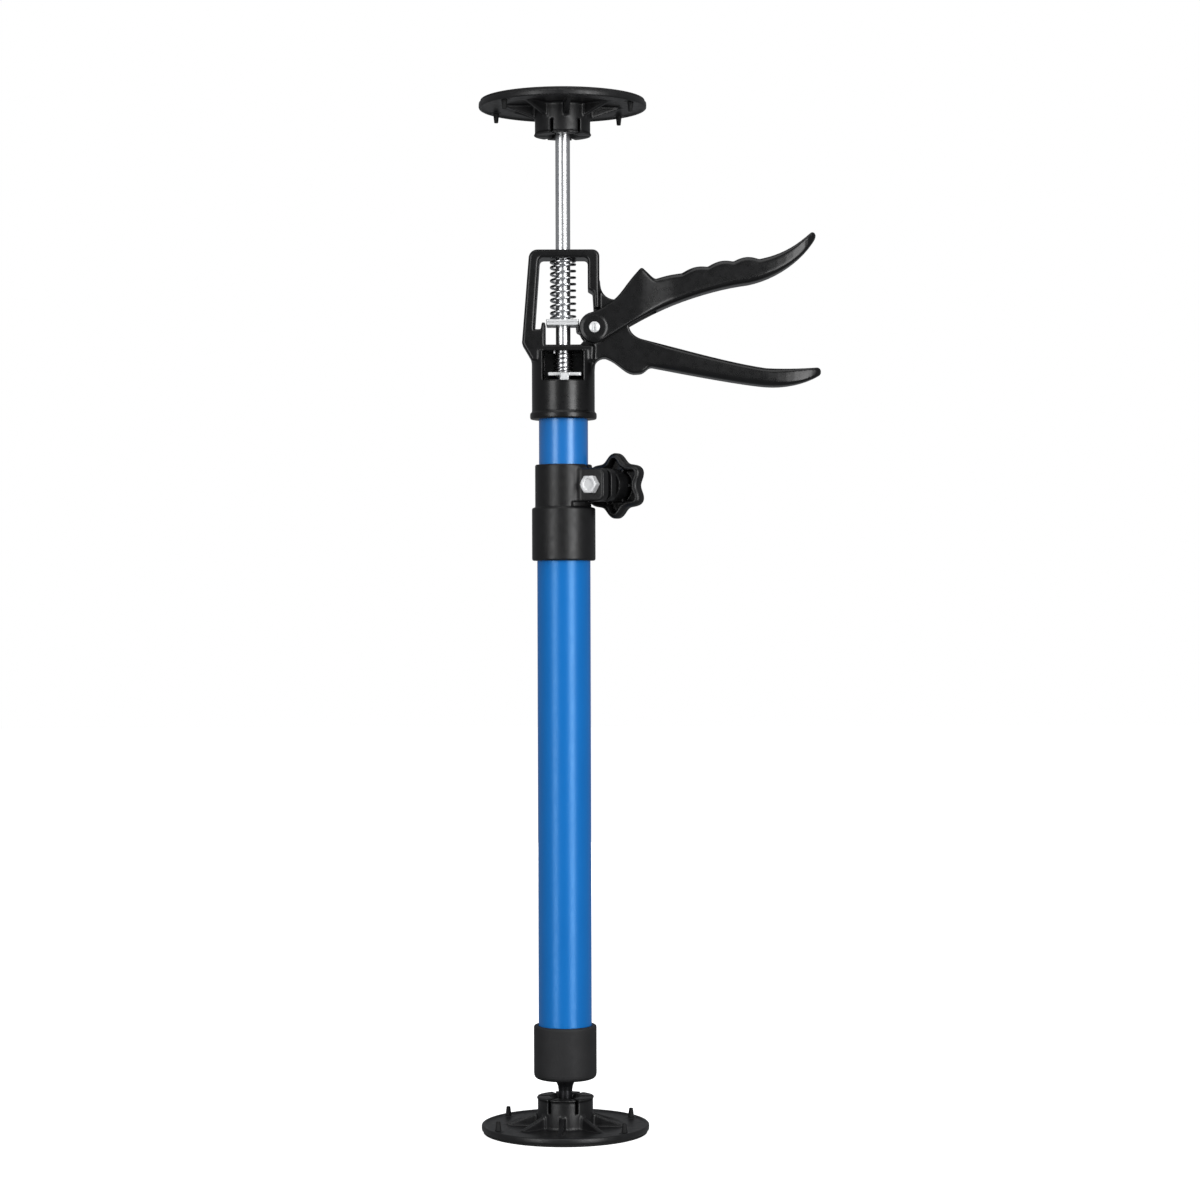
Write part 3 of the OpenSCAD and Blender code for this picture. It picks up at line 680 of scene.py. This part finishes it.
def add_head_ball():
    """The ball on the rod's top end, bored from below."""
    bore_top, bore_step, foot = HEAD_BALL_Z + 3.2, HEAD_BALL_Z - 4.1, HEAD_BALL_Z - 5.47
    bore = [(0, bore_top, 0), (3.0, bore_top, 0.1), (3.0, bore_step, 0), (ROD_R + 0.05, bore_step, 0),
            (ROD_R + 0.05, foot, 0.1)]
    ball = [(r, HEAD_BALL_Z + z, 0) for r, z in arc(0, 0, BALL_R, -57.5, 90, 22)]
    ball[-1] = (0, HEAD_BALL_Z + BALL_R, 0)
    turned("head_ball_body", "head_ball", bore + ball, BLACK)


def add_small_turnings():
    """The clamp's washer, the knob's insert and the socket's rivet."""
    washer, insert = tube(*WASHER_Y, 5.0, BOLT_BORE_R, 0.2), tube(*INSERT_Y, KNOB_BORE_R, BOLT_BORE_R, 0.3)
    turned("clamp_washer_ring", "clamp_washer", washer, ZINC, True, ON_BOLT, 64)
    turned("knob_insert_bush", "knob_insert", insert, BRASS, True, ON_BOLT, 64)
    shank_r, head_r, root, face = 1.6, 3.0, INNER_R + 0.1, SOCKET_R + 0.02
    turned("socket_rivet_head", "socket_rivet", [
        (0, root, 0), (shank_r, root, 0.2), (shank_r, face, 0.1), (head_r, face, 0.15),
        (head_r, 15.6, 0.5), (2.0, 16.15, 0.8), (0, 16.27, 0),
    ], ZINC, False, spot((0, 0, GRIP_Z + RIVET_H)) @ ALONG_Y, 48)


# ------------------------------------------------------------------ fasteners

def hexagon(g, across):
    """Distance to a hexagon about the Z axis, across its flats, one corner on +X."""
    found = np.abs(g.y) - across / 2
    for a in (60, 120):
        c, s = math.cos(math.radians(a)), math.sin(math.radians(a))
        found = np.maximum(found, np.abs(g.y * c - g.x * s) - across / 2)
    return found


def nut(across, z0, z1, bore, step=0.18):
    """A hexagon nut standing on z0, its corners chamfered at both faces."""
    r = across * 0.58
    g = Grid((-r, -r, z0), (r, r, z1), step)
    solid = meet(hexagon(g, across), between(g.z, z0, z1), 0.15)
    cone = np.hypot(g.x, g.y) - across / 2
    for face in (g.z - z1, z0 - g.z):
        solid = np.maximum(solid, (cone + face * 1.7 + 0.1) / 2)
    return skin(g, cut(solid, np.hypot(g.x, g.y) - bore, 0.3))


def bolt_head(across, z0, z1):
    """A hexagon head whose outer face, at z0, is chamfered and has a shallow round dish."""
    r = across * 0.58
    g = Grid((-r, -r, z0), (r, r, z1), 0.14)
    away = np.hypot(g.x, g.y)
    solid = meet(hexagon(g, across), between(g.z, z0, z1), 0.12)
    solid = np.maximum(solid, (away - across / 2 + (z0 - g.z) * 1.7 + 0.15) / 2)
    dish = meet(away - 2.5, g.z - z0 - 0.55, 0)
    return skin(g, cut(solid, dish, 0.35))


def add_clamp_bolt():
    """The M5 bolt: its head, and its threaded shank."""
    add("clamp_bolt_head", "clamp_bolt", bolt_head(8.0, BOLT_HEAD_Y, -EAR_FACE_Y), ZINC, ON_BOLT)
    start, end = -EAR_FACE_Y - 0.05, BOLT_END_Y
    shank = [(0, start, 0), (2.4, start, 0)] + threaded(2.48, start + 0.1, end - 0.8, 0.8, 0.22)
    shank += [(2.2, end, 0.2), (0, end, 0)]
    add("clamp_bolt_thread", "clamp_bolt", lathe(shank, sides=48), ZINC, ON_BOLT, stands=False)


def add_nuts():
    """The foot stud's nut, and the pivot screw's."""
    lo, hi = span("foot_stud_nut")
    stud_nut = nut(13.0, 0, hi[2] - lo[2], 3.95)
    add("foot_stud_hex_nut", "foot_stud_nut", stud_nut, ZINC, spot((0, 0, lo[2])))
    lo, hi = span("pivot_nut")
    add("pivot_hex_nut", "pivot_nut", nut(7.0, lo[1], hi[1], 1.98, 0.14), ZINC, AT_PIVOT)


def add_pivot_screw():
    """The pivot screw: its domed slotted head, and its pin with a threaded end."""
    face = span("pivot_screw")[0][1]
    head_r, head_t, dome_r, slot_w, slot_d, pin_r = 2.6, 1.7, 5.6, 0.76, 0.95, 1.97
    g = Grid((-head_r, -head_r, face), (head_r, head_r, face + head_t), 0.1)
    away = np.hypot(g.x, g.y)
    dome = np.sqrt(away**2 + (g.z - face - dome_r) ** 2) - dome_r
    head = meet(meet(away - head_r, between(g.z, face, face + head_t), 0.25), dome, 0.2)
    head = cut(head, meet(np.abs(g.x) - slot_w / 2, g.z - face - slot_d), 0.08)
    add("pivot_screw_head", "pivot_screw", skin(g, head), ZINC, AT_PIVOT)
    start, stop = face + head_t - 0.05, float(span("pivot_screw")[1][1])
    pin = [(0, start, 0), (pin_r, start, 0.05), (pin_r, stop - 4.5, 0.05)]
    pin += threaded(pin_r, stop - 4.4, stop - 0.3, 0.7, 0.2) + [(1.7, stop, 0.15), (0, stop, 0)]
    add("pivot_screw_pin", "pivot_screw", lathe(pin, sides=48), ZINC, AT_PIVOT, stands=False)


# ------------------------------------------------------------------ clamp

def clamp_collar():
    """Sleeve, split ring and two ears in one moulding."""
    lo, hi = span("clamp_collar")
    g = Grid(lo, hi, 0.5)
    outer_top = float(span("outer_tube")[1][2]) + 0.06
    ring_z, ring_top = outer_top + 1.74, float(hi[2])
    sleeve_r, ring_r = 15.15, 13.6
    ear_z, ear_top, ear_x, slit_w = ring_z + 2.6, ring_top - 2.1, 25.9, 2.5
    c, s = BOLT_AXIS[1], BOLT_AXIS[0]
    u, v = g.x * c - g.y * s, g.x * s + g.y * c
    sleeve = post(g, sleeve_r, lo[2], ring_z, 0.9)
    solid = join(sleeve, post(g, ring_r, ring_z - 2, ring_top, 0.6), 0.45)
    side = soften([(9, ear_z, 0), (ear_x, ear_z, 4), (ear_x, ear_top, 4), (9, ear_top, 0)])
    ears = meet(outline(side, u, g.z), np.abs(v) - EAR_FACE_Y, 0.9)
    solid = join(solid, ears, 1.6)
    gap = meet(np.abs(v) - slit_w / 2, ear_z - g.z)
    relief = meet(meet(between(g.z, ring_z + 0.4, ear_z), 10 - u), ring_r - 0.7 - np.hypot(g.x, g.y))
    solid = cut(solid, meet(gap, -u), 0.35)
    solid = cut(solid, relief, 0.3)
    solid = cut(solid, post(g, OUTER_R + 0.03, lo[2] - 5, outer_top), 0.4)
    solid = cut(solid, np.hypot(g.x, g.y) - INNER_R - 0.1, 0.4)
    bolt_hole = np.hypot(u - np.hypot(BOLT[0], BOLT[1]), g.z - BOLT[2]) - 2.6
    return skin(g, cut(solid, bolt_hole, 0.2))


def clamp_knob():
    """Star knob along the bolt's axis: a boss, a lobed cap and ribs in its hollow underside."""
    lobes, mean_r, lobe_h, boss_r, wall = 6, 14.1, 1.6, 7.5, 2.6
    base, under, top = KNOB_FOOT_Y, KNOB_UNDER_Y, KNOB_TOP_Y
    half = mean_r + lobe_h + 0.1
    g = Grid((-half, -half, base), (half, half, top), 0.45)
    away = np.hypot(g.x, g.y)
    angle = np.arctan2(g.y, g.x) - math.pi / 2
    edge = mean_r + lobe_h * np.cos(lobes * angle)
    lean = lobe_h * lobes * np.sin(lobes * angle) / np.maximum(away, 6)
    star = (away - edge) / np.sqrt(1 + lean**2)
    cap = meet(star, between(g.z, under, top), 2.4)
    dished = np.sqrt(away**2 + (g.z - top - 31) ** 2) - 32.0
    cap = cut(cap, dished, 0.8)
    hollow = meet(star + wall, g.z - under - 5.2, 0.8)
    hollow = cut(hollow, away - boss_r, 0.6)
    _, ry = folded(g.x, g.y, lobes)
    hollow = cut(hollow, meet(np.abs(ry) - 0.7, under + 1.6 - g.z), 0.3)
    solid = cut(cap, hollow, 0.5)
    solid = join(solid, post(g, boss_r, base, under + 5, 0.4), 0.5)
    return skin(g, cut(solid, post(g, KNOB_BORE_R, base - 3, base + 9.3), 0.3))


def add_clamp():
    add("clamp_collar_moulding", "clamp_collar", clamp_collar(), BLACK)
    add("clamp_star_knob", "clamp_knob", clamp_knob(), BLACK, ON_BOLT)


# ------------------------------------------------------------------ grip

SOCKET_TOP, WEB_TOP = 32.4, 35.2
FRAME_X, FRAME_TOP, FRAME_ROOF, FRAME_Y = 17.4, 80.3, 76.4, 9.6
LEDGE_Z, LEDGE_X = 42.5, -8.4
POCKET_Z, POCKET_X, POCKET_BACK = 18.3, 9.7, 9.8
LUG_Y, CHEEK_TOP = 6.7, 52.6
LOCK_BACK = JOINT["lock_release"]["pos_m"][1] / MM
LOCK_Z = JOINT["lock_release"]["pos_m"][2] / MM - GRIP_Z
LOCK_TILT, LOCK_T = 4.5, 1.6


def frame_outline():
    """Outer side of the frame's bars, seen from the front."""
    return ([(-SOCKET_R + 0.4, SOCKET_TOP - 5), (-19.5, WEB_TOP + 0.6)]
            + arc(-12.1, FRAME_TOP - 4.1, 4.1, 176, 90, 8)
            + arc(FRAME_X - 3.2, FRAME_TOP - 3.2, 3.2, 90, 0, 8)
            + [(FRAME_X, WEB_TOP + 2), (SOCKET_R, WEB_TOP), (SOCKET_R - 0.4, SOCKET_TOP - 5)])


def window_outline():
    """The frame's opening, with the ledge at its lower left."""
    return ([(LEDGE_X, WEB_TOP), (LEDGE_X, LEDGE_Z + 3.2), (LEDGE_X - 1.6, LEDGE_Z + 3.2),
             (LEDGE_X - 2.2, LEDGE_Z), (-13.5, LEDGE_Z)]
            + arc(-9.4, FRAME_ROOF - 1.8, 1.8, 176, 90, 6)
            + arc(10, FRAME_ROOF - 1.8, 1.8, 90, 0, 6)
            + [(11.8, 61.5), (14.3, 60), (14.8, 51.2), (PIVOT_X, PIVOT_H), (8.4, WEB_TOP)])


def lug_outline():
    """The web that holds the trigger's pivot and the lower handle's root."""
    points = [(8.4, WEB_TOP - 1), (12.4, PIVOT_H), (14.8, 51.2), (14.3, 60), (14.3, 65.2), (FRAME_X, 65.2)]
    points += curve((FRAME_X, 65.2), (17.8, 60.5), (20, 57), (24.8, 56.7))
    points += curve((24.8, 56.7), (29.6, 53.2), (31.5, 48.6), (31.4, 44.2))
    points += curve((31.4, 44.2), (31.6, 41.6), (33.8, 39), (37.5, 37.9))
    points += [(40, 37.2), (42, 24.8)]
    points += curve((42, 24.8), (39.8, 24.8), (39, 21.5), (35.5, 21.7), 6)
    points += curve((35.5, 21.7), (29.5, 20.6), (27, 27), (20.3, 29.2))
    points += curve((20.3, 29.2), (17, 29.6), (14.9, 27.4), (14.4, 24), 6)
    return points + [(12, 24), (12, WEB_TOP - 1)]


def handle_outline():
    """Side of the lower handle."""
    points = [(34, 30), (36, 37.6), (37.5, 37.9)]
    points += curve((37.5, 37.9), (52, 34.4), (78, 26.6), (96.5, 23.9), 12)
    points += curve((96.5, 23.9), (104, 23.5), (113, 23.5), (121.2, 24.4))
    points += arc(121.5, 22.4, 1.9, 80, -70, 6)
    points += curve((122.2, 20.6), (115.5, 16.9), (106, 14.7), (96.5, 15.5))
    points += curve((96.5, 15.5), (84, 16.6), (58, 21.7), (42, 24.8), 12)
    return points + [(34, 26)]


def grip_plan(x0, root, palm, tip_x):
    """Outline from above of a handle along +X: narrow root, full palm, rounded tip."""
    half = [(x0, root), (36, root)] + curve((36, root), (40, root), (50, palm), (54, palm))
    half += curve((92, palm), (106, palm), (116, palm - 1.8), (tip_x - 3.2, 4.6))
    half += curve((tip_x - 3.2, 4.6), (tip_x - 1.2, 3.6), (tip_x, 2), (tip_x, 0), 6)
    return half + [(x, -y) for x, y in reversed(half[:-1])]


def grip_body():
    """The one-piece moulding: socket, open frame, lug and lower handle."""
    g = Grid((-20, -15.9, 0), (123.5, 15.9, FRAME_TOP), 0.52)
    away = np.hypot(g.x, g.y)
    depth = np.abs(g.y)
    socket = join(post(g, SOCKET_R + 0.9, 0, 3.4, 0.9), post(g, SOCKET_R, 1, SOCKET_TOP, 0.3), 0.5)
    ring = np.maximum(outline(frame_outline(), g.x, g.z), -outline(window_outline(), g.x, g.z))
    bars = meet(ring, depth - FRAME_Y, 1.5)
    room = meet(meet(9.2 - g.x, between(g.z, WEB_TOP - 0.6, CHEEK_TOP)), LUG_Y - depth)
    bars = cut(bars, room, 0.4)
    past_boss = meet(between(g.x, PIVOT_X - 12, PIVOT_X - 4.8), between(g.z, PIVOT_H - 7, PIVOT_H + 8))
    boss = np.hypot(g.x - PIVOT_X, g.z - PIVOT_H) - 5.4
    lug = np.minimum(cut(outline(lug_outline(), g.x, g.z), cut(past_boss, boss)), boss)
    lug = meet(lug, depth - LUG_Y, 0.9)
    soft = 1.0 + 2.0 * np.clip((g.x - 36) / 14, 0, 1) - 1.6 * np.clip((g.x - 100) / 16, 0, 1)
    plan = outline(grip_plan(30, LUG_Y, 8.4, 123.4), g.x, g.y)
    handle = meet(outline(handle_outline(), g.x, g.z), plan, soft)
    solid = join(join(socket, bars, 1.0), join(lug, handle), 1.0)
    tube_top = float(span("inner_tube")[1][2]) - GRIP_Z + 0.05
    solid = cut(solid, post(g, INNER_R + 0.05, -5, tube_top), 0.5)
    solid = cut(solid, post(g, INNER_R - WALL, 5, POCKET_Z + 1))
    floor = np.where(g.y < LOCK_BACK - 1.5, POCKET_Z, LOCK_Z - 0.2)
    pocket = meet(np.abs(g.x) - POCKET_X, g.y - POCKET_BACK)
    pocket = meet(pocket, np.maximum(floor - g.z, g.z - SOCKET_TOP))
    solid = cut(solid, pocket, 0.6)
    solid = cut(solid, away - ROD_R - 0.1, 0.3)
    solid = cut(solid, np.hypot(g.x - PIVOT_X, g.z - PIVOT_H) - 2.05, 0.1)
    rivet = meet(np.hypot(g.x, g.z - RIVET_H) - 1.65, 5 - g.y)
    return skin(g, cut(solid, rivet))


def lever_outline():
    """Side of the trigger: round end, thumb stop, finger ridges and tip."""
    grip_a, grip_b = np.array((44.2, 66.3)), np.array((93.3, 75.7))
    ridges, belly = 4, 9.0
    points = arc(PIVOT_X, PIVOT_H, 7.4, 300, 105, 24)
    points += curve((13.1, 50.35), (17.5, 51.3), (22, 54.4), (25.2, 57.2), 6)
    points += curve((25.2, 57.2), (28.6, 60.4), (30.5, 64.6), (36.6, 71.0), 6)
    points += arc(37.5, 70.3, 1.1, 130, 40, 4)
    points += curve((38.3, 71), (41.5, 68.2), (42.8, 66.4), tuple(grip_a), 5)
    for i in range(1, 65):
        u = i / 64
        ridge_h = 0.5 if u < 1 / ridges else 1.3
        lift = belly * u * u * (1 - u) + ridge_h * abs(math.sin(math.pi * ridges * u))
        points.append(tuple(grip_a + u * (grip_b - grip_a) + (0, lift)))
    points += curve(tuple(grip_b), (102, 77.4), (109.5, 80.5), (118.1, 88.6), 10)
    points += arc(119.1, 87.1, 1.8, 120, -30, 6)
    points += curve((120.6, 86.2), (115, 76.4), (102, 66.9), (88.2, 64.3), 12)
    points += curve((88.2, 64.3), (74, 62.6), (52.5, 56.6), (32.7, 45.4), 12)
    return points


def trigger_lever():
    """The forked trigger, with a nose bar that lifts the drive plates."""
    inner_y, outer_y, fork_r, nose_x, nose_h, nose_r = 7.1, 10.3, 30.5, 7.6, 42.7, 1.5
    g = Grid((5.5, -10.6, 34), (121.5, 10.6, 89.4), 0.48)
    depth = np.abs(g.y)
    from_pivot = np.hypot(g.x - PIVOT_X, g.z - PIVOT_H)
    soft = 1.2 + 1.7 * np.clip((g.x - 34) / 16, 0, 1) - 1.6 * np.clip((g.x - 98) / 16, 0, 1)
    plan = outline(grip_plan(0, outer_y, 8.6, 121), g.x, g.y)
    solid = meet(outline(lever_outline(), g.x, g.z), plan, soft)
    solid = join(solid, meet(from_pivot - 5.8, between(depth, 8.3, 10.6), 0.4), 0.3)
    fork = meet(from_pivot - fork_r, depth - inner_y)
    nose = np.hypot(g.x - nose_x, g.z - nose_h) - nose_r
    solid = cut(solid, fork, 0.3)
    solid = join(solid, meet(nose, depth - inner_y - 1), 0.6)
    return skin(g, cut(solid, from_pivot - 2.05, 0.15))


def add_grip():
    add("grip_moulding", "grip_body", grip_body(), GRIP_BLACK, AT_GRIP)
    add("trigger_moulding", "trigger_lever", trigger_lever(), GRIP_BLACK, AT_GRIP)


# ------------------------------------------------------------------ jack

def drive_plate(z0, z1):
    """One loose stamped plate with a hole for the rod."""
    lo, hi = span("drive_plates")
    g = Grid((lo[0], lo[1], z0), (hi[0], hi[1], z1), 0.23)
    corners = [(x, y, 0.9) for x, y in ((lo[0], lo[1]), (hi[0], lo[1]), (hi[0], hi[1]), (lo[0], hi[1]))]
    flat = cut(outline(soften(corners), g.x, g.y), np.hypot(g.x, g.y) - ROD_R - 0.3)
    return skin(g, meet(flat, between(g.z, z0, z1), 0.25))


def lock_plate():
    """The locking plate and its bent tab, flat, with its hinge edge at the origin."""
    half, shift, front, tab, reach, drop = 7.9, 0.8, -22.0, 2.0, -26.4, -2.0
    g = Grid((shift - half, reach, drop), (shift + half, 0, LOCK_T), 0.25)
    plate = outline(soften([
        (shift - half, front, 1.2), (shift - tab - 1, front, 0.8), (shift + tab + 1, front, 0.8),
        (shift + half, front, 1.2), (shift + half, 0, 0.8), (shift - half, 0, 0.8),
    ]), g.x, g.y)
    hole = np.hypot(g.x, g.y + LOCK_BACK) - ROD_R - 0.3
    flat = meet(cut(plate, hole), between(g.z, 0, LOCK_T), 0.28)
    bend = soften([
        (front + 2, 0, 0), (reach + LOCK_T, 0, 0.4), (reach + LOCK_T, drop, 0.3),
        (reach, drop, 0.3), (reach, LOCK_T, 1.8), (front + 2, LOCK_T, 0),
    ])
    tongue = meet(outline(bend, g.y, g.z), np.abs(g.x - shift) - tab, 0.28)
    return skin(g, join(flat, tongue, 0.4))


def add_plates():
    """The two drive plates with a sliver between them, and the lock plate at rest on its ledge."""
    lo, hi = span("drive_plates")
    apart = 0.05
    half = (hi[2] - lo[2] - apart) / 2
    upper = drive_plate(lo[2] + half + apart, hi[2])
    add("drive_plate_lower", "drive_plates", drive_plate(lo[2], lo[2] + half), STAMPED)
    add("drive_plate_upper", "drive_plates", upper, STAMPED, stands=False)
    hinge = (0, LOCK_BACK, GRIP_Z + LOCK_Z)
    add("lock_plate_stamping", "lock_plate", lock_plate(), STAMPED, spot(hinge, turn_x=LOCK_TILT))


def add_drive_spring():
    """The long spring, from the drive plates up to the frame's roof."""
    seat = float(span("drive_plates")[1][2])
    roof = float(span("drive_spring")[1][2]) + 0.04
    winding = coil(seat + 0.01, roof, 5.7, 0.62, 10.0, 0.9, 0.1)
    spring = make("drive_spring_coil", "drive_spring", winding, DRIVE_WIRE)
    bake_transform(spring)


def add_lock_spring():
    """The small spring above the lock plate, its lower turns leaning as the plate does."""
    roof = float(span("lock_spring")[1][2]) + 0.04
    lean = math.tan(math.radians(LOCK_TILT))
    seat = GRIP_Z + LOCK_Z + LOCK_T - LOCK_BACK * lean + 0.03
    co, faces = coil(seat, roof, 4.4, 0.42, 5.2, 0.9, 0.35)
    co[:, 2] += lean * co[:, 1] * np.clip((roof - co[:, 2]) / (roof - seat), 0, 1)
    # The wire's dark colour is painted shade of the pocket.
    spring = make("lock_spring_coil", "lock_spring", (co, faces), SHADED_LOCK_WIRE)
    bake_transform(spring)


# ------------------------------------------------------------------ stage, lights and camera

def add_floor():
    """A plain pale floor."""
    half = 4.0
    corners = [(-half, -half, 0), (half, -half, 0), (half, half, 0), (-half, half, 0)]
    mesh = bpy.data.meshes.new("floor")
    mesh.from_pydata(corners, [], [(0, 1, 2, 3)])
    f = Finish("pale_floor", Roughness=0.9, Emission_Color=(1, 1, 1, 1), Emission_Strength=0.9)
    f.colours(f.noise(90, 3), (0.3, (0.83, 0.83, 0.83)), (0.7, (0.86, 0.86, 0.86)))
    mesh.materials.append(f.material)
    floor = bpy.data.objects.new("floor", mesh)
    bpy.context.scene.collection.objects.link(floor)
    floor.visible_diffuse = False
    floor.visible_glossy = False


def add_light(name, place, aim, size, power, reflected=True):
    """A soft rectangular light at place that faces aim, size being its width and height.
    One that isn't reflected isn't seen either."""
    lamp = bpy.data.lights.new(name, "AREA")
    lamp.shape = "RECTANGLE"
    lamp.size, lamp.size_y = size
    lamp.energy = power
    obj = bpy.data.objects.new(name, lamp)
    obj.location = place
    obj.rotation_euler = (Vector(aim) - Vector(place)).to_track_quat("-Z", "Y").to_euler()
    obj.visible_camera = obj.visible_glossy = reflected
    bpy.context.scene.collection.objects.link(obj)


def add_world():
    """White behind the object, and a dimmer room all round that it reflects."""
    world = bpy.data.worlds.new("studio")
    bpy.context.scene.world = world
    world.use_nodes = True
    tree = world.node_tree
    room = tree.nodes["Background"]
    room.inputs[0].default_value = (0.95, 0.97, 1.0, 1)
    room.inputs[1].default_value = 0.2
    backdrop = tree.nodes.new("ShaderNodeBackground")
    backdrop.inputs[0].default_value = (1, 1, 1, 1)
    backdrop.inputs[1].default_value = 1.0
    seen = tree.nodes.new("ShaderNodeLightPath")
    mix = tree.nodes.new("ShaderNodeMixShader")
    tree.links.new(seen.outputs["Is Camera Ray"], mix.inputs[0])
    tree.links.new(room.outputs[0], mix.inputs[1])
    tree.links.new(backdrop.outputs[0], mix.inputs[2])
    tree.links.new(mix.outputs[0], tree.nodes["World Output"].inputs[0])


def add_lights():
    """Two tall soft strips in front, and softer light from above and behind."""
    middle, away = (0, 0, 0.27), 1.5
    for name, turn, width, power in (("left", -39, 0.55, 9.0), ("right", 35, 0.60, 16.5)):
        turn = math.radians(turn)
        place = (away * math.sin(turn), -away * math.cos(turn), 0.35)
        add_light("strip_" + name, place, middle, (width, 1.5), power)
    add_light("overhead", (0, -0.3, 1.7), middle, (1.4, 1.2), 7.0)
    add_light("back", (0, away, 0.45), middle, (0.8, 1.3), 8.0, reflected=False)


def add_camera():
    """A long lens, level with the pole's middle and square to the grip's open front."""
    data = bpy.data.cameras.new("camera")
    data.sensor_width = 36
    data.lens = 84.98
    data.clip_start = 0.01
    camera = bpy.data.objects.new("camera", data)
    lean, roll = math.radians(90 - 0.185), math.radians(-0.17)
    turned = Matrix.Rotation(lean, 4, "X") @ Matrix.Rotation(roll, 4, "Z")
    camera.matrix_world = Matrix.Translation((0.0172, -1.352, 0.2581)) @ turned
    bpy.context.scene.collection.objects.link(camera)
    bpy.context.scene.camera = camera


add_pads()
add_tubes()
add_foot_cap()
add_foot_stud()
add_rod()
add_guide_bush()
add_head_ball()
add_small_turnings()
add_clamp_bolt()
add_nuts()
add_pivot_screw()
add_clamp()
add_grip()
add_plates()
add_drive_spring()
add_lock_spring()
add_floor()
add_world()
add_lights()
add_camera()
bpy.context.scene.view_settings.view_transform = "Standard"
